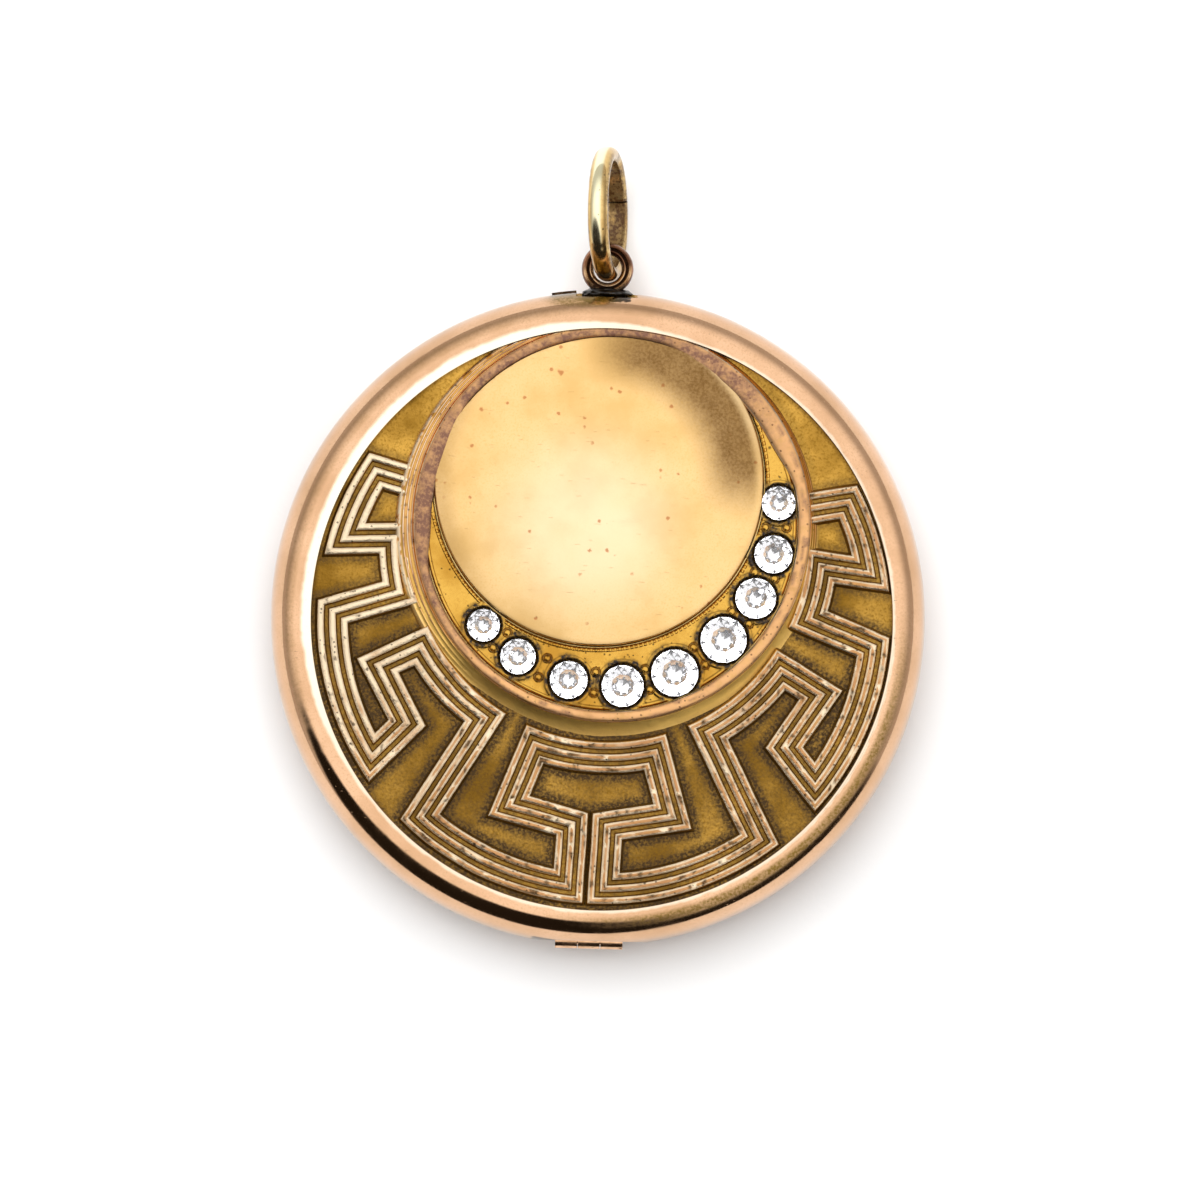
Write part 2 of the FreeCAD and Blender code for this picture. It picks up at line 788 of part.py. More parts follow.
SUB_PARTS = [
    "back_shell", "snap_ring", "case_photo_card", "case_window", "case_photo_frame",
    "cover_rim", "nail_lip", "key_panel", "moulding_ring", "moon_disc", "crescent_plate",
    "cover_lining", "cover_bezel", "cover_photo_card", "cover_window", "cover_photo_frame",
    "cover_knuckle", "case_knuckles", "hinge_pin", "eye", "eye_solder", "jump_ring",
] + ["paste_stone_%d" % index for index in range(1, len(STONES) + 1)]


def export():
    """Check every object of the document, then write each sub-part to its own file."""
    doc.recompute()
    for item in doc.Objects:
        if "Invalid" in item.State or "Error" in item.State:
            raise RuntimeError("%s did not recompute: %s" % (item.Name, item.State))
    os.makedirs("parts", exist_ok=True)
    for name in SUB_PARTS:
        item = doc.getObject(name)
        item.Label = name
        if item.Shape.isNull() or not item.Shape.isValid() or not item.Shape.Solids:
            raise RuntimeError("%s has no valid solid" % name)
        item.Shape.exportStep(os.path.join("parts", name + ".step"))
        print("%-20s %d solid(s) %9.3f mm3" % (name, len(item.Shape.Solids), item.Shape.Volume))


build()
export()
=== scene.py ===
import itertools
import json
import math

import bmesh
import bpy
import numpy as np
from mathutils import Euler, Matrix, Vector
from mathutils.kdtree import KDTree


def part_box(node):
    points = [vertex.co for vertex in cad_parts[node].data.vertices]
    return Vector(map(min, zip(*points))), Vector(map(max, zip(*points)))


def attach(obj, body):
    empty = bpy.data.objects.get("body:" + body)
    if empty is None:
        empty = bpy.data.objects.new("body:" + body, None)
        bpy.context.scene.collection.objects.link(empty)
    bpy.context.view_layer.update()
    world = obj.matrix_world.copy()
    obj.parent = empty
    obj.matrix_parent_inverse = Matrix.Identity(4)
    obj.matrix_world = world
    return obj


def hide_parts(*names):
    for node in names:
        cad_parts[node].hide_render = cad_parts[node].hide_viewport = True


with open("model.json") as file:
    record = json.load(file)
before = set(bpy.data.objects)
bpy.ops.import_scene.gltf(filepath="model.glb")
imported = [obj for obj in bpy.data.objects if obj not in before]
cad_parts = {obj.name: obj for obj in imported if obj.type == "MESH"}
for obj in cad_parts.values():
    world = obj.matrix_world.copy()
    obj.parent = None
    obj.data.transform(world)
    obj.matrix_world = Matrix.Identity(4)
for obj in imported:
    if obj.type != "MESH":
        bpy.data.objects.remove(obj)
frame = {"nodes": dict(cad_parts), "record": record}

MM = 0.001
FULL_TURN = 2 * math.pi
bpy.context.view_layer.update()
record = frame["record"]


# ---- measures from the frame, in millimetres ----------------------------------------------

def span(node):
    """Return a CAD node's lowest and highest corners in millimetres."""
    low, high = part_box(node)
    return np.array(low) / MM, np.array(high) / MM


def disc_of(node):
    """Return the centre and radius in plan of a node that is round but for its upper side."""
    low, high = span(node)
    radius = (high[0] - low[0]) / 2
    return np.array([(low[0] + high[0]) / 2, low[1] + radius]), radius


joints = {joint["name"]: joint for joint in record["behaviour"]["joints"]}
mounts = {mount["name"]: mount for mount in record["mounts"]}

CASE_RADIUS = span("cover_rim")[1][0]
SEAM = span("back_shell")[1][2]
COVER_SEAM = span("cover_rim")[0][2]
ROLL_LOW = COVER_SEAM + 0.37
RIM_TOP = span("cover_rim")[1][2]
RIM_CREST = CASE_RADIUS - 1.48
RIM_WALL = span("cover_lining")[1][0]
RIM_INNER = span("key_panel")[1][0]
PANEL_LOW = span("key_panel")[0][2]
RIDGE_TOP = span("key_panel")[1][2]
PANEL_TOP = RIDGE_TOP - 0.30
LINING_TOP = span("cover_lining")[1][2]
HINGE = np.array(joints["cover_hinge"]["pos_m"]) / MM
EYE_CENTRE = np.array(joints["jump_ring_swing"]["pos_m"]) / MM
MOULDING_CENTRE, MOULDING_OUTER = disc_of("moulding_ring")
MOULDING_TOP = span("moulding_ring")[1][2]
MOULDING_INNER = span("crescent_plate")[1][0] - MOULDING_CENTRE[0]
MOON_CENTRE, MOON_RADIUS = disc_of("moon_disc")
MOON_TOP = span("moon_disc")[1][2]
MOON_EDGE = MOON_TOP - 0.75
CRESCENT_TOP = span("crescent_plate")[1][2]
STONE_NODES = ["paste_stone_%d" % number for number in range(1, 10)]
INSIDE_LOW = PANEL_LOW - 0.1


# ---- seeded noise -------------------------------------------------------------------------

def cell_values(cells, seed):
    """Return one fixed pseudo-random value from -1 to 1 for each whole-number cell."""
    mixed = cells @ np.array([73856093, 19349663, 83492791]) + seed * 2654435761
    mixed = (mixed ^ (mixed >> 13)) * 1274126177
    mixed = mixed ^ (mixed >> 16)
    return (mixed & 0xFFFF) / 32767.5 - 1


def noise(points, cell, seed):
    """Return smooth seeded noise from -1 to 1 at points, with bumps about one cell wide."""
    scaled = np.asarray(points) / cell
    base = np.floor(scaled).astype(np.int64)
    part = scaled - base
    part = part * part * (3 - 2 * part)
    total = np.zeros(scaled.shape[:-1])
    for corner in itertools.product((0, 1), repeat=3):
        share = np.prod(np.where(np.array(corner), part, 1 - part), axis=-1)
        total += share * cell_values(base + np.array(corner), seed)
    return total


def step(value, low, high):
    """Return 0 below low and 1 above high, with a smooth slope between; high may be the lesser."""
    part = np.clip((np.asarray(value) - low) / (high - low), 0, 1)
    return part * part * (3 - 2 * part)


def most(*values):
    """Return the greatest of several values at each point."""
    return np.maximum.reduce(values)


def reach_from(points, centre=(0, 0)):
    """Return each point's distance in plan from a centre."""
    return np.hypot(points[..., 0] - centre[0], points[..., 1] - centre[1])


def facing(points, bearing, centre=(0, 0)):
    """Return the cosine of each point's angle in plan from a bearing in degrees."""
    angle = np.arctan2(points[..., 1] - centre[1], points[..., 0] - centre[0])
    return np.cos(angle - math.radians(bearing))


# ---- points and outlines ------------------------------------------------------------------

def around(angle):
    """Return the unit vector in plan at each angle."""
    return np.stack([np.cos(angle), np.sin(angle)], -1)


def turns(count):
    """Return evenly spaced angles all the way round."""
    return np.arange(count) * FULL_TURN / count


def quarter(start, end, centre, steps):
    """Return points on the quarter ellipse about a centre, from start to end."""
    start, end, centre = np.array(start), np.array(end), np.array(centre)
    turn = np.linspace(0, math.pi / 2, steps + 1)[:, None]
    return list(centre + (start - centre) * np.cos(turn) + (end - centre) * np.sin(turn))


def rounded(corners, reach, closed=True, steps=4):
    """Return an outline with its corners rounded, each bend starting at most a reach away."""
    corners = [np.array(corner, float) for corner in corners]
    outline = []
    for index, corner in enumerate(corners):
        before, after = corners[index - 1], corners[(index + 1) % len(corners)]
        if not closed and index in (0, len(corners) - 1):
            outline.append(corner)
            continue
        ends = []
        for other in (before, after):
            away = other - corner
            length = np.linalg.norm(away)
            ends.append(corner + away / length * min(reach, length * 0.45))
        for share in np.linspace(0, 1, steps + 1):
            first = ends[0] * (1 - share) + corner * share
            second = corner * (1 - share) + ends[1] * share
            outline.append(first * (1 - share) + second * share)
    return outline


def grid_faces(rows, columns, round_rows=True, round_columns=True):
    """Return the corner numbers of each face of a grid of points, listed row after row."""
    row = np.arange(rows if round_rows else rows - 1)[:, None]
    column = np.arange(columns if round_columns else columns - 1)[None, :]
    next_row = (row + 1) % rows
    next_column = (column + 1) % columns
    corners = (
        row * columns + column, next_row * columns + column,
        next_row * columns + next_column, row * columns + next_column,
    )
    return np.stack(corners, -1).reshape(-1, 4).tolist()


def lathe(profile, centre=(0, 0), columns=360):
    """Return points and faces of a profile of (radius, height) points turned about a centre."""
    profile = np.array(profile)
    ring = around(turns(columns))[:, None, :] * profile[None, :, :1] + np.array(centre)
    height = np.broadcast_to(profile[:, 1:], (columns, len(profile), 1))
    hollow = profile[0, 0] > 0
    faces = grid_faces(columns, len(profile), round_columns=hollow)
    return np.concatenate([ring, height], -1), faces


def sweep(grid):
    """Return points and faces of a row of closed sections, capped at both ends."""
    rows, columns = grid.shape[:2]
    faces = grid_faces(rows, columns, round_rows=False)
    faces.append(list(range(columns)))
    faces.append(list(range((rows - 1) * columns, rows * columns)))
    return grid, faces


# ---- meshes and pieces --------------------------------------------------------------------

def tool_of(low, high):
    """Return a box-shaped cutting tool between two corners in millimetres."""
    mesh = bpy.data.meshes.new("tool")
    corners = [Vector(corner) * MM for corner in itertools.product(*zip(low, high))]
    sides = [(0, 1, 3, 2), (4, 6, 7, 5), (0, 4, 5, 1), (2, 3, 7, 6), (0, 2, 6, 4), (1, 5, 7, 3)]
    mesh.from_pydata(corners, [], sides)
    return mesh


def rod_tool(centre, radius, half_length):
    """Return a round cutting tool that lies along X."""
    angle = turns(96)
    ends = []
    for x in (-half_length, half_length):
        ring = np.stack([np.full(96, x), np.cos(angle) * radius, np.sin(angle) * radius], -1)
        ends.append(ring + centre)
    points, faces = sweep(np.stack(ends))
    mesh = bpy.data.meshes.new("tool")
    mesh.from_pydata((points.reshape(-1, 3) * MM).tolist(), [], faces)
    return mesh


def clean(mesh):
    """Join doubled points and face every face outwards."""
    work = bmesh.new()
    work.from_mesh(mesh)
    bmesh.ops.remove_doubles(work, verts=work.verts, dist=2e-7)
    bmesh.ops.recalc_face_normals(work, faces=work.faces)
    work.to_mesh(mesh)
    work.free()


def carve(piece, tools):
    """Cut the tools' shapes out of a piece."""
    cutters = []
    for tool in tools:
        clean(tool)
        cutter = bpy.data.objects.new("tool", tool)
        bpy.context.scene.collection.objects.link(cutter)
        modifier = piece.modifiers.new("cut", "BOOLEAN")
        modifier.operation = "DIFFERENCE"
        modifier.solver = "EXACT"
        modifier.object = cutter
        cutters.append(cutter)
    graph = bpy.context.evaluated_depsgraph_get()
    piece.data = bpy.data.meshes.new_from_object(piece.evaluated_get(graph))
    piece.modifiers.clear()
    for cutter in cutters:
        bpy.data.objects.remove(cutter)


def places(piece):
    """Return a piece's vertices in millimetres."""
    mesh = piece.data
    flat = np.zeros(len(mesh.vertices) * 3)
    mesh.vertices.foreach_get("co", flat)
    return flat.reshape(-1, 3) / MM


def paint(piece, name, values):
    """Store one number from 0 to 1 at each vertex, for the material to read."""
    layer = piece.data.attributes.new(name, "FLOAT", "POINT")
    layer.data.foreach_set("value", np.clip(values, 0, 1).astype(np.float32))


def make_piece(name, body, slot, material, parts, replaced=(), sharp=32, tools=(), **paints):
    """Make one piece of (points, faces) parts and put it on its body.

    The tools are cut out of it, and each paint is a function of the vertices.
    """
    points = []
    faces = []
    for part_points, part_faces in parts:
        start = len(points)
        points += (np.asarray(part_points).reshape(-1, 3) * MM).tolist()
        faces += [[corner + start for corner in face] for face in part_faces]
    mesh = bpy.data.meshes.new(name)
    mesh.from_pydata(points, [], faces)
    clean(mesh)
    piece = bpy.data.objects.new(name, mesh)
    bpy.context.scene.collection.objects.link(piece)
    if tools:
        carve(piece, tools)
    for polygon in piece.data.polygons:
        polygon.use_smooth = sharp > 0
    if sharp:
        piece.data.set_sharp_from_angle(angle=math.radians(sharp))
    piece.data.materials.append(material)
    for layer, function in paints.items():
        paint(piece, layer, function(places(piece)))
    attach(piece, body)
    if replaced:
        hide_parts(*replaced)
    return piece


# ---- node materials -----------------------------------------------------------------------

def tint(red, green, blue):
    """Return a linear colour for display values from 0 to 255."""
    shares = [value / 255 for value in (red, green, blue)]
    return tuple(((share + 0.055) / 1.055) ** 2.4 for share in shares) + (1,)


class Nodes:
    """A node tree with short ways to add the nodes that these materials share."""

    def __init__(self, tree):
        self.tree = tree

    def node(self, kind, inputs=(), **options):
        """Add a node, set its options, and set or link its inputs."""
        made = self.tree.nodes.new(kind)
        for option, value in options.items():
            setattr(made, option, value)
        for key, value in dict(inputs).items():
            self.feed(made.inputs[key], value)
        return made

    def feed(self, socket, value):
        """Link a socket to another one, or give it a plain value."""
        if isinstance(value, bpy.types.NodeSocket):
            self.tree.links.new(value, socket)
        else:
            socket.default_value = value

    def math(self, operation, first, second=0.0):
        """Return the outcome of one sum, kept from 0 to 1."""
        sum_node = self.node(
            "ShaderNodeMath", {0: first, 1: second}, operation=operation, use_clamp=True
        )
        return sum_node.outputs[0]

    def band(self, value, low, high, least=0.0, most=1.0):
        """Return least where a value is at low, most where it is at high, smooth between."""
        inputs = {"Value": value, "From Min": low, "From Max": high, "To Min": least, "To Max": most}
        ranged = self.node("ShaderNodeMapRange", inputs, interpolation_type="SMOOTHSTEP")
        return ranged.outputs["Result"]

    def mix(self, share, first, second):
        """Return a colour between two colours."""
        mixer = self.node("ShaderNodeMix", {0: share, 6: first, 7: second}, data_type="RGBA")
        return mixer.outputs[2]


class Shader(Nodes):
    """A material of one Principled shader, patterned in millimetres of the part's own frame."""

    def __init__(self, name):
        self.material = bpy.data.materials.new(name)
        self.material.use_nodes = True
        super().__init__(self.material.node_tree)
        self.surface = self.tree.nodes["Principled BSDF"]
        self.place = self.node("ShaderNodeTexCoord").outputs["Object"]

    def stretched(self, where, turn, stretch):
        """Return coordinates that make a pattern longer by the stretch at an angle."""
        if stretch == 1:
            return where
        inputs = {"Vector": where, "Rotation": (0, 0, turn), "Scale": (1 / stretch, 1, 1)}
        return self.node("ShaderNodeMapping", inputs).outputs[0]

    def grain(self, size, detail=3.0, turn=0.0, stretch=1.0):
        """Return noise from 0 to 1 with grains of a size, longer by the stretch at an angle."""
        where = self.stretched(self.place, turn, stretch)
        inputs = {"Vector": where, "Scale": 1 / (size * MM), "Detail": detail, "Roughness": 0.6}
        return self.node("ShaderNodeTexNoise", inputs).outputs["Fac"]

    def spots(self, size, chance, reach=0.25, turn=0.0, stretch=1.0):
        """Return ragged round or stretched spots, one in a share of the cells of a size."""
        inputs = {"Vector": self.place, "Scale": 3 / (size * MM), "Detail": 2.0}
        bend = self.node("ShaderNodeTexNoise", inputs).outputs["Color"]
        inputs = {0: bend, 1: (0.3 * size * MM,) * 3, 2: self.place}
        where = self.node("ShaderNodeVectorMath", inputs, operation="MULTIPLY_ADD").outputs[0]
        where = self.stretched(where, turn, stretch)
        inputs = {"Vector": where, "Scale": 1 / (size * MM)}
        cells = self.node("ShaderNodeTexVoronoi", inputs)
        near = self.band(cells.outputs["Distance"], reach, reach * 0.4)
        lot = self.node("ShaderNodeSeparateColor", {0: cells.outputs["Color"]}).outputs[0]
        chosen = self.band(lot, 1 - chance, 1 - chance + 0.01)
        return self.math("MULTIPLY", near, chosen)

    def painted(self, name):
        """Return the numbers stored at the vertices under a name, or 0 where there are none."""
        return self.node("ShaderNodeAttribute", attribute_name=name).outputs["Fac"]

    def bump(self, height, depth, under=None):
        """Return a normal roughened by a height, whose full range is a depth in millimetres."""
        inputs = {"Height": height, "Distance": depth * MM, "Strength": 1.0}
        if under is not None:
            inputs["Normal"] = under
        return self.node("ShaderNodeBump", inputs).outputs["Normal"]

    def finish(self, **inputs):
        """Set or link the Principled shader's inputs, with spaces for underscores."""
        for key, value in inputs.items():
            self.feed(self.surface.inputs[key.replace("_", " ")], value)
        return self.material


SOOT = tint(38, 24, 14)


def old_gold(
    name, face, shade, gloss, worn=None, edge=None, dirt_and_shade=SOOT, blotch=3.0, grain=0.12,
    grain_depth=0.0006, pits=0.04, pit_colour=SOOT, scratches=0.5, mottle=0.35, soft=0.35,
    shine=None, ragged=0.3, pit_size=0.55,
):
    """Make aged gold: two tones, worn and sooty places, grain, pits and fine scratches, with
    painted highlights and painted shade.

    The gloss is the roughness of the cleanest and the dullest places. Places marked for wear
    take the worn colour up to a half, and above that the edge colour, which is a painted
    highlight; places marked for the painted highlight take its colour. The dirt colour stands for
    both dirt and painted shade. Soft is the metal of the sooty and painted-shade places, and
    ragged how uneven their edges are.
    """
    shader = Shader(name)
    tone = shader.band(shader.grain(blotch, 4), 0.35, 0.68)
    colour = shader.mix(tone, face, shade)
    fine = shader.grain(grain, 4)
    colour = shader.mix(shader.band(fine, 0.45, 0.75, 0, mottle), colour, shade)
    pitted = shader.math(
        "ADD", shader.spots(pit_size, pits, 0.2), shader.spots(pit_size * 0.42, pits, 0.3)
    )
    # The wear mark: up to a half it is wear in the worn colour; above that it is a painted highlight
    # in the edge colour.
    if worn is not None:
        wear_and_highlight_value = shader.painted("worn")
        patchy = shader.band(shader.grain(0.35, 3), 0.2, 0.6, 0.6, 1)
        colour = shader.mix(shader.math("MULTIPLY", shader.band(wear_and_highlight_value, 0, 0.5), patchy), colour, worn)
        colour = shader.mix(shader.band(wear_and_highlight_value, 0.5, 1.0, 0, 0.85), colour, edge or worn)
        pitted = shader.math("MULTIPLY", pitted, shader.band(wear_and_highlight_value, 0, 0.4, 0.15, 1))
    # Painted highlight: places marked for it take the pale highlight colour.
    if shine is not None:
        colour = shader.mix(shader.painted("shine"), colour, shine)
    hair = shader.spots(0.16, scratches * 0.3, 0.13, turn=0.6, stretch=9)
    for turn in (-0.5, 1.7, 2.5):
        hair = shader.math("ADD", hair, shader.spots(0.2, scratches * 0.2, 0.1, turn, 12))
    colour = shader.mix(shader.math("MULTIPLY", hair, 0.3), colour, shade)
    colour = shader.mix(shader.math("MULTIPLY", pitted, 0.75), colour, pit_colour)
    uneven = shader.band(shader.grain(0.14, 4), 0.3, 0.7, -ragged, ragged)
    # The grime mark carries both dirt and painted shade, mixed in with the dirt colour.
    grime = shader.painted("grime")
    inputs = {0: grime, 1: uneven, 2: grime}
    soot_and_shade = shader.node("ShaderNodeMath", inputs, operation="MULTIPLY_ADD", use_clamp=True).outputs[0]
    colour = shader.mix(soot_and_shade, colour, dirt_and_shade)
    dullness_and_shade = shader.math("ADD", shader.math("MULTIPLY", tone, 0.5), shader.math("MULTIPLY", fine, 0.5))
    dullness_and_shade = shader.math("MAXIMUM", dullness_and_shade, soot_and_shade)
    roughness = shader.band(dullness_and_shade, 0.2, 1.0, gloss[0], gloss[1])
    normal = shader.bump(fine, grain_depth)
    normal = shader.bump(shader.math("ADD", pitted, hair), -0.004, normal)
    normal = shader.bump(shader.grain(1.6, 2), 0.004, normal)
    return shader.finish(
        Base_Color=colour, Metallic=shader.band(soot_and_shade, 0.2, 1.0, 1.0, soft), Roughness=roughness,
        Normal=normal,
    )


def paste_glass():
    """Make the clear paste of the stones, with a few fine scuffs on its facets."""
    shader = Shader("paste")
    scuffs = shader.spots(0.12, 0.15, 0.12, turn=0.9, stretch=7)
    normal = shader.bump(scuffs, -0.001)
    roughness = shader.band(shader.grain(0.6, 3), 0.4, 0.8, 0.0, 0.06)
    return shader.finish(
        Base_Color=tint(250, 251, 255), Transmission_Weight=1.0, IOR=1.56,
        Roughness=roughness, Normal=normal,
    )


def stone_foil():
    """Make the silvery foil behind the stones, grey and flaked in places."""
    shader = Shader("stone_foil")
    flakes = shader.band(shader.grain(0.35, 4), 0.58, 0.8)
    colour = shader.mix(flakes, tint(254, 254, 255), tint(168, 174, 190))
    normal = shader.bump(shader.grain(0.3, 2), 0.002)
    return shader.finish(Base_Color=colour, Metallic=0.8, Roughness=0.06, Normal=normal)


def clear_window():
    """Make thin yellowed celluloid with fine scratches."""
    shader = Shader("clear_window")
    hair = shader.spots(0.3, 0.25, 0.1, turn=0.4, stretch=14)
    hair = shader.math("ADD", hair, shader.spots(0.3, 0.25, 0.1, turn=2.0, stretch=14))
    normal = shader.bump(hair, -0.002, shader.bump(shader.grain(6, 2), 0.02))
    yellowed = shader.band(shader.grain(5, 3), 0.3, 0.8)
    colour = shader.mix(yellowed, tint(252, 249, 236), tint(247, 238, 208))
    return shader.finish(
        Base_Color=colour, Transmission_Weight=1.0, IOR=1.49,
        Roughness=shader.band(hair, 0.0, 1.0, 0.12, 0.4), Normal=normal,
    )


def picture_card():
    """Make old cream card with paper fibres, foxing and a browner edge."""
    shader = Shader("picture_card")
    fibres = shader.grain(0.12, 5, turn=0.5, stretch=4)
    colour = shader.mix(shader.band(fibres, 0.3, 0.7), tint(233, 222, 194), tint(219, 205, 172))
    broken = shader.band(shader.grain(0.5), 0.3, 0.6)
    fox = shader.math("MULTIPLY", shader.spots(2.2, 0.3, 0.2), broken)
    colour = shader.mix(fox, colour, tint(176, 138, 88))
    colour = shader.mix(shader.painted("grime"), colour, tint(158, 124, 82))
    return shader.finish(Base_Color=colour, Roughness=0.85, Normal=shader.bump(fibres, 0.01))


# The olive dirt colour is both the solder's stain and the rim's painted shade, the near-black worn
# colour is the solder residue and the painted shadow behind the nail lip, and the cream colour a
# painted highlight.
ROSE = old_gold(
    "rose_gold", tint(226, 184, 148), tint(206, 164, 126), (0.08, 0.22), worn=tint(36, 32, 28),
    dirt_and_shade=tint(126, 98, 36), blotch=5.0, grain_depth=0.0008, pits=0.1, scratches=0.35, mottle=0.8,
    soft=0.7, shine=tint(255, 246, 226),
)
# The pale edge colour is a painted highlight, and the dark dirt colour serves both the dirt in the
# grooves and the ground's painted shade.
BLOOMED = old_gold(
    "bloomed_gold", tint(214, 166, 76), tint(150, 110, 36), (0.3, 0.5), worn=tint(196, 146, 100),
    edge=tint(255, 238, 206), dirt_and_shade=tint(66, 46, 16), blotch=5.0, grain=0.13, grain_depth=0.03,
    pits=0.3, scratches=0.1, mottle=1.0, soft=0.6,
)
# The pale edge colour and the yellow colour are painted highlights.
MOULDING_GOLD = old_gold(
    "moulding_gold", tint(214, 170, 86), tint(180, 138, 62), (0.4, 0.55),
    worn=tint(234, 182, 128), edge=tint(255, 242, 214), dirt_and_shade=tint(136, 98, 80), grain=0.13,
    grain_depth=0.004, pits=0.35, pit_colour=tint(96, 60, 40), scratches=0.3, mottle=0.5, soft=0.6,
    shine=tint(255, 214, 122),
)
# The brown dirt colour is the moon's painted shade, and the cream colour its painted highlight.
SATIN = old_gold(
    "satin_gold", tint(240, 202, 142), tint(232, 190, 122), (0.28, 0.42), blotch=4.0, grain=0.09,
    grain_depth=0.002, pits=0.07, pit_colour=tint(184, 112, 66), scratches=1.5, mottle=1.0,
    dirt_and_shade=tint(116, 82, 38), soft=0.8, shine=tint(246, 225, 186), ragged=0.1, pit_size=1.0,
)
BRIGHT = old_gold(
    "bright_gold", tint(218, 172, 80), tint(190, 140, 54), (0.2, 0.36), grain=0.12,
    grain_depth=0.002, pits=0.3, scratches=0.2, mottle=0.5, dirt_and_shade=tint(34, 22, 12),
)
GILT = old_gold(
    "inner_gilt", tint(238, 204, 134), tint(222, 182, 108), (0.16, 0.3), blotch=6.0, pits=0.05,
    scratches=0.3,
)
HINGE_GOLD = old_gold(
    "hinge_gold", tint(228, 186, 150), tint(206, 162, 124), (0.16, 0.3), blotch=0.8, pits=0.2,
    scratches=0.5,
)
# The nail lip is coloured near-black as a painted shadow line along the rim's edge.
LIP_SHADE = old_gold(
    "lip_painted_shade", tint(88, 66, 48), tint(44, 34, 26), (0.4, 0.6), blotch=0.5, pits=0.2,
)
# The pale worn colour is a painted highlight on the rings' lower crests.
EYE_GOLD = old_gold(
    "eye_gold", tint(150, 104, 74), tint(92, 60, 42), (0.18, 0.34), worn=tint(232, 192, 146),
    blotch=0.7, grain=0.1, grain_depth=0.003, pits=0.3, scratches=0.4, mottle=0.7,
    dirt_and_shade=tint(48, 30, 18),
)
SOLDER = old_gold(
    "old_solder", tint(88, 86, 84), tint(44, 42, 42), (0.25, 0.5), blotch=0.5, grain=0.15,
    grain_depth=0.02, pits=0.3, scratches=0.1, mottle=0.7, dirt_and_shade=tint(20, 20, 20),
)
# The brown dirt colour is partly dirt and partly painted shade, and the pale colour a painted
# highlight.
RING_GOLD = old_gold(
    "ring_gold", tint(226, 194, 132), tint(200, 162, 100), (0.12, 0.26), dirt_and_shade=tint(84, 56, 28),
    blotch=1.2, grain=0.12, grain_depth=0.0016, pits=0.1, scratches=0.5, mottle=0.5,
    shine=tint(255, 252, 214),
)
PASTE = paste_glass()
FOIL = stone_foil()
WINDOW = clear_window()
CARD = picture_card()


# ---- the case's two shells ----------------------------------------------------------------

# The room cut for the hinge's barrels, leaves and knuckles, and the notch over the solder.
HINGE_HALF = span("hinge_pin")[1][0]
HINGE_FLAT = HINGE[1]
BARREL_ROOM = 0.45
LEAF_ROOM = 0.4
KNUCKLE_HALF = 0.53
KNUCKLE_WIDTH = 1.08
CUT_REACH = 4.0
NOTCH_HALF = 1.5
NOTCH_DEPTH = 0.34

# How deeply the shells are dented, and how square the rim's roll is: 2 would be an ellipse.
DENT_DEPTH = 0.014
ROLL_FULLNESS = 2.25


def hinge_tools():
    """Return the tools that make room for the hinge: the barrels' round and the flat outside it."""
    half = HINGE_HALF + CUT_REACH
    flat_low = (-half, HINGE_FLAT - CUT_REACH, -CUT_REACH)
    flat_high = (half, HINGE_FLAT, 2 * CUT_REACH)
    return [rod_tool(HINGE, BARREL_ROOM, HINGE_HALF + 0.04), tool_of(flat_low, flat_high)]


def dented(points, depth, seed):
    """Move a shell's points in by a smooth uneven depth, as handling leaves thin sheet."""
    soft = noise(points, 5.5, seed) * 0.6 + noise(points, 1.7, seed + 1) * 0.3
    knocks = np.maximum(noise(points, 1.1, seed + 2) - 0.62, 0)
    inward = depth * (0.9 - soft) / 1.8 + depth * 2.2 * knocks
    core = points * np.array([0.85, 0.85, 0.6])
    core[..., 2] += 0.4 * SEAM
    away = points - core
    away /= np.maximum(np.linalg.norm(away, axis=-1, keepdims=True), 1e-6)
    return points - away * inward[..., None]


# The rim's opening is a little larger than the panel and does not sit quite in the middle.
OPENING_CENTRE = np.array([0.2, -0.1])
OPENING = RIM_INNER + 0.1

# Where the rim is marked: bearings in degrees of the painted highlight's widest side, of the
# painted shade band and of the painted shade at the lower right; the middle and reach of the
# stain beside the solder; and the middle of the painted shadow line behind the nail lip.
UPPER_LEFT = 145
SHADE_BAND_BEARING = 160
LOWER_RIGHT_SHADE_BEARING = -48
STAIN_CENTRE = (-1.3, 15.55)
STAIN_REACH = (2.0, 0.55)
LIP_MIDDLE = -1.95


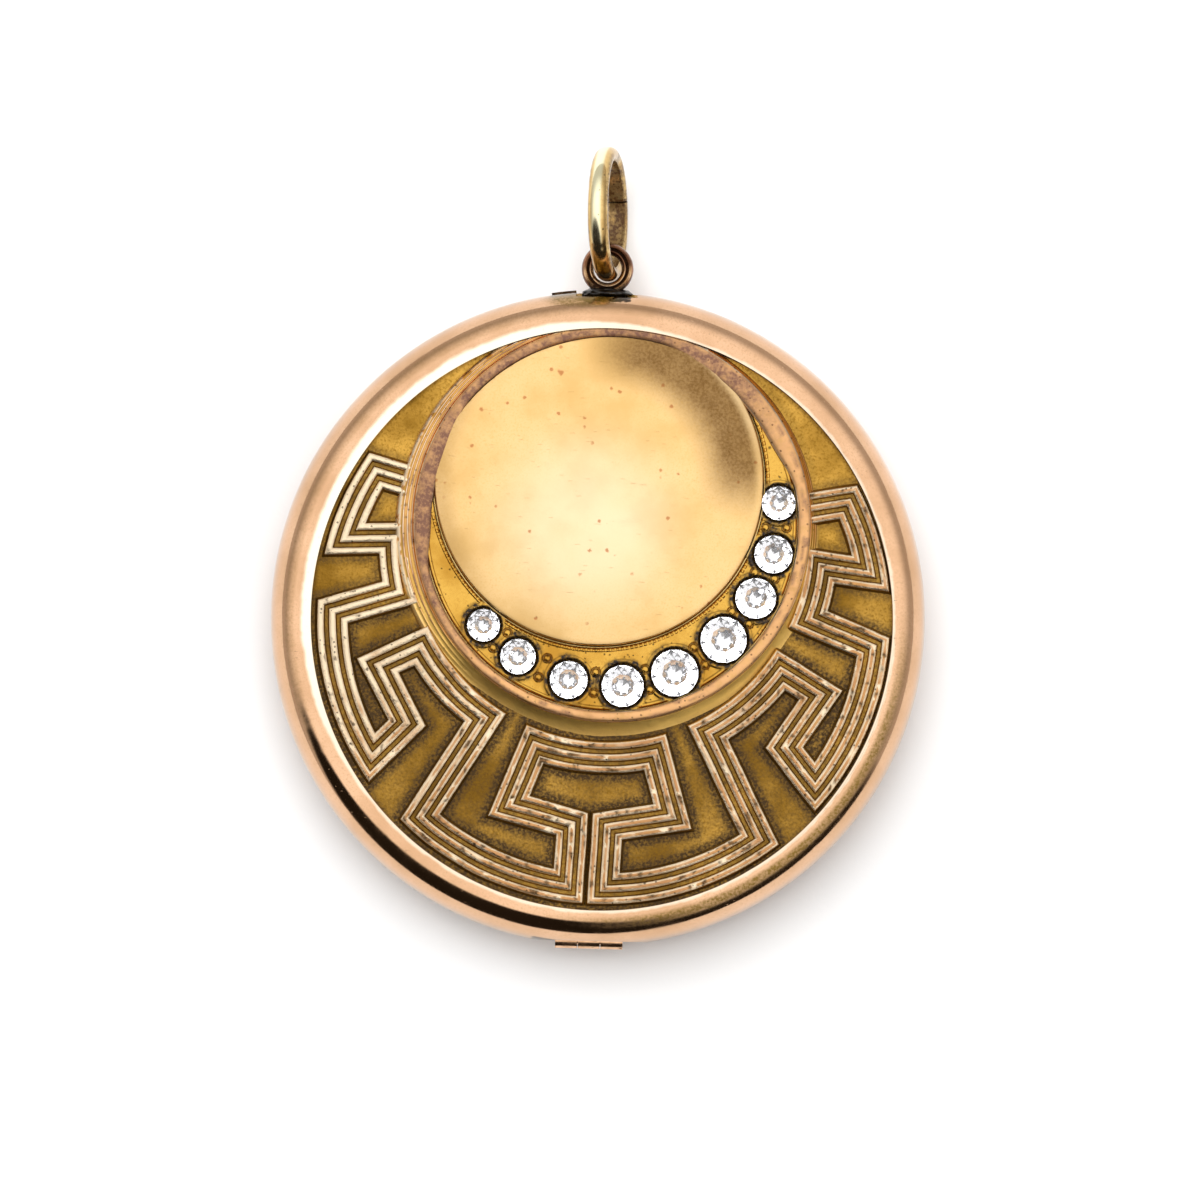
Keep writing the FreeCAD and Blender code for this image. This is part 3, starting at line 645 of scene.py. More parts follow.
def rim_grime(points):
    """Return the rim's dirt and painted shade: the corner, partly painted shade, the seam, the
    solder's stain, and painted shade at the upper left, at the lower right and on the outer edge.
    """
    height = points[:, 2]
    radius = reach_from(points)
    inside = reach_from(points, OPENING_CENTRE) - OPENING
    ragged = noise(points, 0.5, 31) * 0.5 + noise(points, 0.2, 32) * 0.5
    # Darker in the inner corner: partly dirt, partly painted shade.
    corner = step(inside, 0.06, 0.01) * step(height, PANEL_TOP + 0.2, PANEL_TOP + 0.05)
    seam = step(height, COVER_SEAM + 0.14, COVER_SEAM) * (0.5 + 0.5 * ragged)
    from_stain = np.linalg.norm((points[:, :2] - STAIN_CENTRE) / STAIN_REACH, axis=1)
    stain = step(from_stain, 1.15, 0.5) * (0.8 + 0.3 * ragged)
    # Painted shade on the inner slope at the lower right.
    lower_right_shade = step(facing(points, LOWER_RIGHT_SHADE_BEARING), 0.55, 0.95) * step(inside, 0.25, 0.5)
    lower_right_shade *= step(height, PANEL_TOP, PANEL_TOP + 0.1) * step(radius, 15.4, 15.0)
    lower_right_shade *= 0.8 + 0.2 * ragged
    # Painted shade: a darker band on the roll at the upper left.
    dullness_and_shade = step(np.abs(radius - 15.02), 0.32, 0.12) * step(facing(points, SHADE_BAND_BEARING), -0.2, 0.7)
    dullness_and_shade *= step(height, PANEL_TOP - 0.2, PANEL_TOP - 0.1) * (0.22 + 0.08 * ragged)
    # Painted shade along the outermost edge.
    edge = step(radius, CASE_RADIUS - 0.3, CASE_RADIUS - 0.03) * (0.24 + 0.08 * ragged)
    return most(corner, seam, stain, lower_right_shade, dullness_and_shade, edge)


def rim_shine(points):
    """Return the painted highlight along the rim's inner edge, widest at the upper left."""
    inside = reach_from(points, OPENING_CENTRE) - OPENING
    upper_left = step(facing(points, UPPER_LEFT), 0.25, 0.85)
    ragged = noise(points, 0.7, 36) * 0.05 + noise(points, 0.2, 37) * 0.03
    wide = step(inside + ragged, 0.22 + 0.36 * upper_left, 0.08 + 0.26 * upper_left)
    return wide * (0.55 + 0.45 * upper_left) * step(points[:, 2], PANEL_TOP + 0.1, PANEL_TOP + 0.25)


def rim_residue_and_lip_shadow(points):
    """Return the black residue that the solder has left round the notch, and the painted shadow line
    behind the nail lip.
    """
    ragged = noise(points, 0.45, 34) * 0.16 + noise(points, 0.16, 35) * 0.12
    across = np.maximum(np.abs(points[:, 0]) - 0.95, 0)
    below = np.maximum(CASE_RADIUS - NOTCH_DEPTH - points[:, 1], 0)
    # Painted shadow: the dark line on the rim behind the nail lip.
    lip = step(np.abs(points[:, 0] - LIP_MIDDLE), 0.95, 0.6)
    lip *= step(reach_from(points), CASE_RADIUS - 0.22, CASE_RADIUS - 0.1)
    return np.maximum(step(np.hypot(across, below) + ragged, 0.34, 0.2), lip)


def make_rim():
    """Make the cover's rolled rim, notched at the eye and relieved at the hinge."""
    outer = []
    for across in np.sin(np.linspace(math.pi / 2, 0, 56)):
        rise = (1 - across ** ROLL_FULLNESS) ** (1 / ROLL_FULLNESS)
        radius = RIM_CREST + (CASE_RADIUS - RIM_CREST) * across
        outer.append((radius, ROLL_LOW + (RIM_TOP - ROLL_LOW) * rise))
    fall = np.linspace(0, RIM_CREST - RIM_INNER - 0.03, 20)
    inner = [(RIM_CREST - inward, RIM_TOP - 0.2 * inward ** 2) for inward in fall]
    step_top = inner[-1][1]
    inner += [(RIM_INNER + 0.01, step_top - 0.015), (RIM_INNER, step_top - 0.05)]
    inner.append((RIM_INNER, PANEL_TOP))
    low = [(RIM_INNER, LINING_TOP), (RIM_WALL, LINING_TOP), (RIM_WALL, COVER_SEAM)]
    edge = [(CASE_RADIUS - 0.05, COVER_SEAM), (CASE_RADIUS - 0.01, COVER_SEAM + 0.02)]
    points, faces = lathe(outer + inner[1:] + low + edge, columns=720)
    moved = step(reach_from(points), RIM_CREST + 0.1, RIM_INNER)
    moved *= points[..., 2] > LINING_TOP + 0.01
    spread = 1 + (OPENING / RIM_INNER - 1) * moved
    points[..., :2] = points[..., :2] * spread[..., None] + OPENING_CENTRE * moved[..., None]
    outside = step(reach_from(points), RIM_INNER + 0.02, RIM_INNER + 0.3)
    outside *= step(points[..., 2], COVER_SEAM + 0.02, COVER_SEAM + 0.4)
    points += (dented(points, DENT_DEPTH, 3) - points) * outside[..., None]
    notch_low = (-NOTCH_HALF, CASE_RADIUS - NOTCH_DEPTH, SEAM)
    notch = tool_of(notch_low, (NOTCH_HALF, CASE_RADIUS + 1, RIM_TOP + 1))
    slot_low = (-KNUCKLE_HALF, HINGE_FLAT, SEAM)
    slot = tool_of(slot_low, (KNUCKLE_HALF, HINGE_FLAT + LEAF_ROOM, HINGE[2] + 1))
    make_piece(
        "cover_rim_shell", "cover", "rose_gold", ROSE, [(points, faces)], ["cover_rim"],
        tools=hinge_tools() + [notch, slot], grime=rim_grime, worn=rim_residue_and_lip_shadow, shine=rim_shine,
    )


def back_grime(points):
    """Return the dirt of the back shell along the seam."""
    ragged = noise(points, 0.6, 33)
    seam = step(points[:, 2], SEAM - 0.16, SEAM) * (0.5 + 0.5 * ragged)
    return np.maximum(seam, 0)


def make_back():
    """Make the plain back with its rolled side."""
    wall = span("snap_ring")[1][0]
    roll = CASE_RADIUS - 2.0
    gauge = 0.45
    flat = [(radius, 0) for radius in np.linspace(0, roll, 36)[:-1]]
    side = quarter((roll, 0), (CASE_RADIUS, SEAM - 0.03), (roll, SEAM - 0.03), 36)
    lip = [(CASE_RADIUS - 0.03, SEAM), (wall, SEAM), (wall, span("snap_ring")[0][2])]
    floor = [(radius, gauge) for radius in np.linspace(wall - 2 * gauge, 0, 12)]
    points, faces = lathe(flat + side + lip + floor, columns=720)
    outside = step(reach_from(points), roll - 0.2, roll + 0.5)
    outside *= step(points[..., 2], SEAM - 0.02, SEAM - 0.4)
    points += (dented(points, DENT_DEPTH, 7) - points) * outside[..., None]
    leaves = []
    for low in (-HINGE_HALF, HINGE_HALF - KNUCKLE_WIDTH):
        high = (low + KNUCKLE_WIDTH, HINGE_FLAT + LEAF_ROOM, SEAM + 1)
        leaves.append(tool_of((low, HINGE_FLAT, SEAM - 1), high))
    make_piece(
        "back_shell_plain", "case", "rose_gold", ROSE, [(points, faces)], ["back_shell"],
        tools=hinge_tools() + leaves, grime=back_grime,
    )


# ---- the meander border -------------------------------------------------------------------

BORDER_SHIFT = np.array([0.28, 0])
BORDER_TURN = math.radians(-2.2)
LANES = {"rim": (np.zeros(2), 13.2), "moon": (np.array([0, 3.6]), 10.42), "straight": None}

# The left half of the border's middle line, from its upper end to the panel's middle, each
# corner with the lane that the next stretch follows. The right half is its mirror image.
MEANDER_HALF = [
    (-9.56, 5.94, "straight"), (-11.55, 6.40, "rim"), (-12.86, 2.97, "straight"),
    (-10.41, 3.18, "moon"), (-9.97, 0.57, "straight"), (-13.19, -0.59, "rim"),
    (-10.81, -7.57, "straight"), (-9.19, -5.75, "straight"), (-10.80, -3.07, "straight"),
    (-8.79, -1.99, "moon"), (-5.45, -5.28, "straight"), (-8.27, -10.29, "rim"),
    (-0.86, -13.17, "straight"), (-0.86, -10.14, "straight"), (-3.99, -9.46, "straight"),
    (-2.93, -6.40, "moon"),
]

RIDGE_PITCH = 0.58
RIDGE_HALF = 0.17
BAND_HALF = RIDGE_PITCH + RIDGE_HALF


def meander_corners():
    """Return the corners of the whole middle line and the lane of each stretch."""
    left = [np.array(corner[:2]) for corner in MEANDER_HALF]
    half = [LANES[corner[2]] for corner in MEANDER_HALF]
    for index, lane in enumerate(half):
        for corner in (index, index + 1):
            if lane and corner < len(left):
                centre, radius = lane
                away = left[corner] - centre
                left[corner] = centre + away / np.linalg.norm(away) * radius
    right = [corner * (-1, 1) for corner in reversed(left)]
    return left + right, half + half[-2::-1]


def left_of(first, last):
    """Return the unit vector that points left of the way from first to last."""
    way = (last - first) / np.linalg.norm(last - first)
    return np.array([-way[1], way[0]])


def moved_radius(first, last, lane, distance):
    """Return the radius of the circle that runs to the left of a stretch on a lane."""
    centre, radius = lane
    inward = (centre - first) @ left_of(first, last) > 0
    return radius - distance if inward else radius + distance


def moved_crossing(corners, lanes, index, distance):
    """Return where the lines that run beside two following stretches cross, near their corner."""
    corner = corners[index]
    straight, other = (index - 1, index) if lanes[index - 1] is None else (index, index - 1)
    side = left_of(corners[straight], corners[straight + 1])
    start = corners[straight] + side * distance
    way = np.array([side[1], -side[0]])
    if lanes[other] is None:
        other_side = left_of(corners[other], corners[other + 1])
        reach = (corners[other] + other_side * distance - start) @ other_side / (way @ other_side)
        return start + way * reach
    centre = lanes[other][0]
    radius = moved_radius(corners[other], corners[other + 1], lanes[other], distance)
    middle = (centre - start) @ way
    spread = math.sqrt(radius ** 2 - (centre - start) @ (centre - start) + middle ** 2)
    crossings = [start + way * (middle + sign * spread) for sign in (-1, 1)]
    return min(crossings, key=lambda point: np.linalg.norm(point - corner))


def moved_line(corners, lanes, distance, steps):
    """Return points evenly along the line that runs beside the middle line at a distance."""
    ends = [corners[0] + left_of(corners[0], corners[1]) * distance]
    for index in range(1, len(corners) - 1):
        ends.append(moved_crossing(corners, lanes, index, distance))
    ends.append(corners[-1] + left_of(corners[-2], corners[-1]) * distance)
    points = [ends[0]]
    for first, last, lane, count in zip(ends, ends[1:], lanes, steps):
        share = np.linspace(0, 1, count + 1)[1:, None]
        if lane is None:
            points += list(first + (last - first) * share)
            continue
        start, end = (math.atan2(*(point - lane[0])[::-1]) for point in (first, last))
        swing = math.remainder(end - start, FULL_TURN)
        radius = np.linalg.norm(first - lane[0])
        points += list(lane[0] + radius * around(start + swing * share[:, 0]))
    return np.array(points)


def band_profile():
    """Return the border band's section: distance from its middle line and height at each point."""
    groove = PANEL_TOP + 0.12
    crown = [(RIDGE_HALF, 0.1), (0.155, 0.06), (0.125, 0.035), (0.09, 0.015), (0.05, 0.002), (0, 0)]
    crown = [(-across, drop) for across, drop in crown] + crown[-2::-1]
    side = [(0.15, PANEL_TOP - 0.08), (0.1, PANEL_TOP + 0.03), (0.035, RIDGE_TOP - 0.17)]
    section = [(-BAND_HALF - reach, height) for reach, height in side]
    for ridge in (-1, 0, 1):
        section += [(ridge * RIDGE_PITCH + across, RIDGE_TOP - drop) for across, drop in crown]
        if ridge < 1:
            middle = (ridge + 0.5) * RIDGE_PITCH
            bed = ((-0.11, 0.05), (-0.07, 0.005), (0.0, 0), (0.07, 0.005), (0.11, 0.05))
            section += [(middle + across, groove + rise) for across, rise in bed]
    section += [(-across, height) for across, height in section[2::-1]]
    return section


def to_case(points):
    """Turn and shift points of the border's frame into the case's frame."""
    cosine, sine = math.cos(BORDER_TURN), math.sin(BORDER_TURN)
    return points @ np.array([[cosine, sine], [-sine, cosine]]) + BORDER_SHIFT


def kept_inside(points, radius):
    """Pull points that lie outside a circle about the opening's centre back onto it."""
    away = points[..., :2] - OPENING_CENTRE
    away *= np.minimum(1, radius / np.maximum(reach_from(away), 1e-6))[..., None]
    points[..., :2] = OPENING_CENTRE + away
    return points


def make_band():
    """Return the border band's grid of points, one row for each section along it."""
    corners, lanes = meander_corners()
    lengths = [np.linalg.norm(last - first) for first, last in zip(corners, corners[1:])]
    steps = [max(4, round(length / 0.11)) for length in lengths]
    columns = []
    for across, height in band_profile():
        flat = to_case(moved_line(corners, lanes, across, steps))
        columns.append(np.column_stack([flat, np.full(len(flat), height)]))
    grid = kept_inside(np.stack(columns, 1), OPENING - 0.02)
    raised = step(grid[..., 2], RIDGE_TOP - 0.1, RIDGE_TOP - 0.02)
    worn = noise(grid, 0.9, 11) * 0.01 + np.maximum(noise(grid, 0.3, 12) - 0.35, 0) * 0.04
    grid[..., 2] -= raised * (worn + 0.01)
    grid[..., :2] += noise(grid, 1.4, 13)[..., None] * 0.014
    return grid


def band_grime(points):
    """Return the dirt in the band's grooves and at its foot, and the dark dashes on its tops, fewer
    towards the upper left as painted light.
    """
    ragged = noise(points, 0.35, 14) * 0.04
    low = step(points[:, 2] + ragged, RIDGE_TOP - 0.07, PANEL_TOP + 0.11) * 0.6
    lit = step(points[:, 0] - points[:, 1], 4, -14) * 0.25
    dash = step(noise(points, 0.24, 20) - lit, 0.3, 0.55) * 0.8
    return np.maximum(low, dash * step(points[:, 2], RIDGE_TOP - 0.04, RIDGE_TOP - 0.02))


def band_wear_and_highlight(points):
    """Return the band's wear and painted highlights: pinkish wear on the flat of each ridge,
    stronger towards the upper left as painted light, and a painted highlight on its edges.
    """
    height = points[:, 2] - RIDGE_TOP
    # Painted light: the wear colour is stronger towards the upper left.
    lit = step(points[:, 0] - points[:, 1], 4, -14) * 0.6
    ragged = noise(points, 0.6, 19) * 0.25
    flat = step(height, -0.12, -0.06) * (0.48 + np.maximum(lit + ragged, 0))
    # Painted highlight on the ridges' edges.
    edge = step(np.abs(height + 0.045), 0.04, 0.02)
    return np.maximum(flat, edge)


def make_ground():
    """Return the stippled ground of the border, from under the moulding out to the rim."""
    across = np.linspace(0, 1, 64)[None, :, None]
    way = around(turns(900))
    offset = MOULDING_CENTRE - OPENING_CENTRE
    along = way @ offset
    far = np.sqrt((OPENING + 0.02) ** 2 - offset @ offset + along ** 2) - along
    inner = MOULDING_CENTRE + way * (MOULDING_INNER + 0.05)
    outer = MOULDING_CENTRE + way * far[:, None]
    flat = inner[:, None, :] * (1 - across) + outer[:, None, :] * across
    top = np.concatenate([flat, np.full(flat.shape[:2] + (1,), PANEL_TOP)], -1)
    top[..., 2] += noise(top, 0.3, 15) * 0.006 + noise(top, 2.4, 16) * 0.02
    base = top[:, ::-1].copy()[:, [0, -1]]
    base[..., 2] = INSIDE_LOW
    grid = np.concatenate([top, base], 1)
    return grid, grid_faces(*grid.shape[:2])


def make_border():
    """Make the front panel: the ground and the band of three raised lines on it."""
    band = make_band()
    lines = band[:, ::8].reshape(-1, 3)
    tree = KDTree(len(lines))
    for place in lines:
        tree.insert(Vector((*place[:2], 0)), 0)
    tree.balance()

    # The ground is darker towards the bottom as painted shade, and darker beside the band, at the
    # rim's edge and round the moulding, partly as dirt and partly as painted shade.
    def ground_grime(points):
        radius = reach_from(points, OPENING_CENTRE)
        reach = np.array([tree.find(Vector((x, y, 0)))[2] for x, y in points[:, :2]])
        ragged = noise(points, 0.8, 17) * 0.08 + noise(points, 0.25, 18) * 0.06
        lower_field_shade = step(points[:, 1], 6, -4) * 0.42 + ragged
        foot = step(reach, 0.55, 0.05) * 0.5
        edge = step(radius, OPENING - 0.22, OPENING - 0.02) * 0.3
        hollow = reach_from(points, MOULDING_CENTRE)
        moulding = step(hollow, MOULDING_OUTER + 0.5, MOULDING_OUTER + 0.1) * 0.3
        return lower_field_shade + most(foot, edge, moulding)

    def grime(points):
        on_band = points[:, 2] > PANEL_TOP + 0.05
        return np.where(on_band, band_grime(points), ground_grime(points))

    make_piece(
        "key_panel_relief", "cover", "bloomed_gold", BLOOMED, [make_ground(), sweep(band)],
        ["key_panel"], grime=grime, worn=band_wear_and_highlight,
    )


# ---- the moulding, the moon and the crescent ----------------------------------------------

# The bead's flattened top: the share of its width from its inner side, and its height.
BEAD_PROFILE = (
    (0.05, 0.08), (0.13, 0.135), (0.28, 0.165), (0.5, 0.175), (0.72, 0.165), (0.87, 0.13),
    (0.95, 0.07), (1, -0.03),
)
BEAD_FOOT = RIDGE_TOP + 0.02
BEAD_OUTER = MOULDING_INNER + 0.57
BEAD_SHIFT = (0.06, 0.03)

# The cove falls from the bead to its foot. Fine lines take up the first share of it, and its
# foot is pushed out and has a raised lip at the upper left.
FOOT_RADIUS = MOULDING_OUTER + 0.2
FOOT_SHIFT = (0, -0.35)
FOOT_PUSH = 0.32
LINE_WAVES = 4.2
LINED_SHARE = 0.72
LIP_SHARE = 0.84
TARNISH_BEARING = 125

# Where the bead widens inwards over the crescent's ends: the bearing, the depth, and the cosines
# of the angle from the bearing where it starts and is full.
HORNS = ((44, 0.42, 0.85, 0.97), (168, 0.38, 0.88, 0.98))


def moulding_grime(points):
    """Return the dirt inside the bead and at the foot, and the tarnish and dashes on the bead."""
    reach = reach_from(points, MOULDING_CENTRE)
    ragged = noise(points, 0.5, 23) * 0.3 + noise(points, 0.2, 24) * 0.3
    inside = step(reach, MOULDING_INNER - 0.3, MOULDING_INNER - 0.45) * 0.5
    foot_dirt = step(points[:, 2], PANEL_TOP + 0.12, PANEL_TOP + 0.02) * 0.2
    tarnish = step(facing(points, TARNISH_BEARING, MOULDING_CENTRE), -0.3, 0.4) * (0.8 + ragged)
    tarnish *= step(reach, MOULDING_INNER + 0.5, MOULDING_INNER + 0.36)
    away = points[:, :2] - MOULDING_CENTRE
    bearing = np.arctan2(away[:, 1], away[:, 0])
    along = np.column_stack([bearing * MOULDING_INNER / 5, reach, np.zeros(len(reach))])
    dashes = step(noise(along, 0.12, 28), 0.2, 0.55) * 0.6
    dashes *= step(reach, MOULDING_INNER, MOULDING_INNER + 0.1)
    dashes *= step(points[:, 2], BEAD_FOOT - 0.02, BEAD_FOOT)
    return most(inside, foot_dirt, tarnish, dashes)


def moulding_shine(points):
    """Return the painted highlight on the cove's lower side."""
    lower = step(MOULDING_CENTRE[1] - points[:, 1], 0, 4)
    in_cove = step(points[:, 2], BEAD_FOOT - 0.02, BEAD_FOOT - 0.08)
    return lower * in_cove * (0.6 + noise(points, 0.8, 27) * 0.15)


def moulding_wear_and_highlight(points):
    """Return the pale wear on the bead, with painted highlights on its edges, on its lines' crests and
    on its lip towards the upper side.
    """
    height = points[:, 2] - BEAD_FOOT
    edge = step(np.abs(height - 0.05), 0.06, 0.02) * 0.5
    reach = reach_from(points, MOULDING_CENTRE)
    way = (points[:, :2] - MOULDING_CENTRE) / reach[:, None]
    left = step(facing(way, UPPER_LEFT), 0.0, 0.75)
    near = BEAD_OUTER + way @ BEAD_SHIFT
    share = (reach - near) / (FOOT_RADIUS + way @ FOOT_SHIFT + FOOT_PUSH * left - near)
    crest = step(np.sin(share * FULL_TURN * LINE_WAVES), 0.1, 0.9)
    crest *= (share > 0) & (share < LINED_SHARE)
    crest *= np.maximum(left, step(way[:, 1], -0.2, 0.1) * 0.8) * 0.75
    speckled = step(noise(points, 0.3, 25) + noise(points, 0.14, 26), -0.75, -0.45)
    lip = step(np.abs(share - LIP_SHARE), 0.2, 0.13) * left * speckled
    return most(step(height, -0.06, 0.03) * 0.5 + edge, crest, lip)


def make_moulding():
    """Make the bead round the moon with its fine lines and the cove that falls to the ground."""
    angle = turns(900)
    way = around(angle)
    bead_edge = MOULDING_CENTRE + BEAD_SHIFT + way * BEAD_OUTER
    foot = MOULDING_CENTRE + FOOT_SHIFT + way * FOOT_RADIUS
    inner = MOULDING_CENTRE + way * MOULDING_INNER
    left = step(facing(way, UPPER_LEFT), 0.0, 0.75)
    lined = np.maximum(left, step(np.sin(angle + math.radians(5)), -0.15, 0.15) * 0.7)
    foot = foot + way * (FOOT_PUSH * left)[:, None]
    for bearing, depth, start, full in HORNS:
        inner = inner - way * (depth * step(facing(way, bearing), start, full))[:, None]
    section = [(inner, INSIDE_LOW), (inner, BEAD_FOOT)]
    for share, height in BEAD_PROFILE:
        section.append((inner * (1 - share) + bead_edge * share, BEAD_FOOT + height))
    for share in np.linspace(0.06, 1, 26):
        high = (1 - share) ** 1.7 * (1 - left) + (1 - share ** 7) * left
        fall = (BEAD_FOOT - 0.02) * high + (PANEL_TOP - 0.03) * (1 - high)
        line = np.maximum(np.sin(share * FULL_TURN * LINE_WAVES), 0) * (share < LINED_SHARE)
        lip = step(abs(share - LIP_SHARE), 0.14, 0.06)
        height = fall + line * 0.05 * lined + lip * 0.07 * left
        section.append((bead_edge * (1 - share) + foot * share, height))
    section.append((foot, INSIDE_LOW))
    columns = []
    for flat, height in section:
        columns.append(np.column_stack([flat, np.broadcast_to(height, len(flat))]))
    grid = np.stack(columns, 1)
    trimmed = reach_from(grid, OPENING_CENTRE) > OPENING - 0.02
    raised = trimmed & (grid[..., 2] > PANEL_LOW)
    grid[..., 2] = np.where(raised, np.maximum(grid[..., 2], BEAD_FOOT + 0.05), grid[..., 2])
    grid = kept_inside(grid, OPENING - 0.02)
    top = step(grid[..., 2], PANEL_TOP, PANEL_TOP + 0.2)
    grid[..., 2] += top * (noise(grid, 1.3, 21) * 0.012 + noise(grid, 0.3, 22) * 0.006)
    grid[..., 2] = np.minimum(grid[..., 2], MOULDING_TOP)
    make_piece(
        "moulding_bead", "cover", "moulding_gold", MOULDING_GOLD,
        [(grid, grid_faces(*grid.shape[:2]))], ["moulding_ring"],
        grime=moulding_grime, worn=moulding_wear_and_highlight, shine=moulding_shine,
    )


# The moon's painted dark arc, painted shade along its left side and painted bright middle, and the
# shape of its dome.
SHADED_BEARING = 42
SHADED_EDGE_BEARING = 165
BRIGHT_SPOT = MOON_CENTRE + (-0.6, -2.2)
DOME_RADIUS = MOON_RADIUS - 0.03
DOME_FALL = 0.48


def moon_grime(points):
    """Return the moon's painted shade: a dark arc, a darker band along its left side and a darker
    edge.
    """
    reach = reach_from(points, MOON_CENTRE) / DOME_RADIUS
    bent = reach + noise(points, 3.5, 45) * 0.04
    shaded = step(facing(points, SHADED_BEARING, MOON_CENTRE), 0.52, 0.86) * 0.86
    shaded *= step(bent, 0.55, 0.8) * (1 - 0.7 * step(reach, 0.93, 0.98))
    edge_shade = step(facing(points, SHADED_EDGE_BEARING, MOON_CENTRE), 0.3, 0.9) * 0.3
    edge_shade *= step(reach, 0.84, 0.97)
    edge = step(reach, 0.96, 1.0) * 0.3
    ragged = noise(points, 1.2, 43) * 0.06 + noise(points, 0.4, 44) * 0.05
    return most(shaded, edge, edge_shade) * (1 + ragged)


def moon_shine(points):
    """Return the moon's painted highlights: a bright middle and a gleam on its far rim."""
    middle = step(reach_from(points, BRIGHT_SPOT), 6.2, 1.5)
    uneven = noise(points, 2.2, 46) * 0.1 + noise(points, 0.7, 47) * 0.08
    rim = step(reach_from(points, MOON_CENTRE), DOME_RADIUS - 0.8, DOME_RADIUS - 0.2)
    rim *= step((points[:, :2] - MOON_CENTRE) @ around(math.radians(60)), 4, 7)
    return np.maximum(middle * (0.75 + uneven), rim * (0.4 + uneven))


def make_moon():
    """Make the domed disc, trimmed by the moulding and softly dented."""
    dome = []
    for share in np.linspace(0, 0.985, 72):
        dome.append((DOME_RADIUS * share, MOON_TOP - DOME_FALL * share ** 2.4))
    brim = quarter(dome[-1], (DOME_RADIUS, MOON_EDGE), (dome[-1][0], MOON_EDGE), 8)
    profile = dome + brim[1:] + [(DOME_RADIUS, INSIDE_LOW), (0, INSIDE_LOW)]
    points, faces = lathe(profile, MOON_CENTRE, 640)
    upper = step(points[..., 2], MOON_EDGE - 0.1, MOON_EDGE + 0.1)
    knocks = np.maximum(noise(points, 0.9, 41) - 0.6, 0) * 0.05
    points[..., 2] -= upper * (knocks + (1 + noise(points, 3.0, 42)) * 0.008)
    away = points[..., :2] - MOULDING_CENTRE
    limit = MOULDING_INNER - 0.02
    past = np.maximum(1 - limit / np.maximum(reach_from(away), 1e-6), 0)
    points[..., :2] -= away * past[..., None]
    make_piece(
        "moon_dome", "cover", "satin_gold", SATIN, [(points, faces)], ["moon_disc"],
        grime=moon_grime, shine=moon_shine,
    )


def stone_of(node):
    """Return a stone's centre in plan and its radius."""
    low, high = span(node)
    return (low[:2] + high[:2]) / 2, (high[0] - low[0]) / 2


def bead_places(stones):
    """Return the centres of the grain beads in the gaps beside the stones."""
    beads = []
    for (first, first_radius), (second, second_radius) in zip(stones, stones[1:]):
        way = second - first
        gap = np.linalg.norm(way)
        middle = first + way / gap * (gap + first_radius - second_radius) / 2
        outward = middle - MOULDING_CENTRE
        outward /= np.linalg.norm(outward)
        beads += [middle + outward * 0.5, middle - outward * 0.52]
    return beads


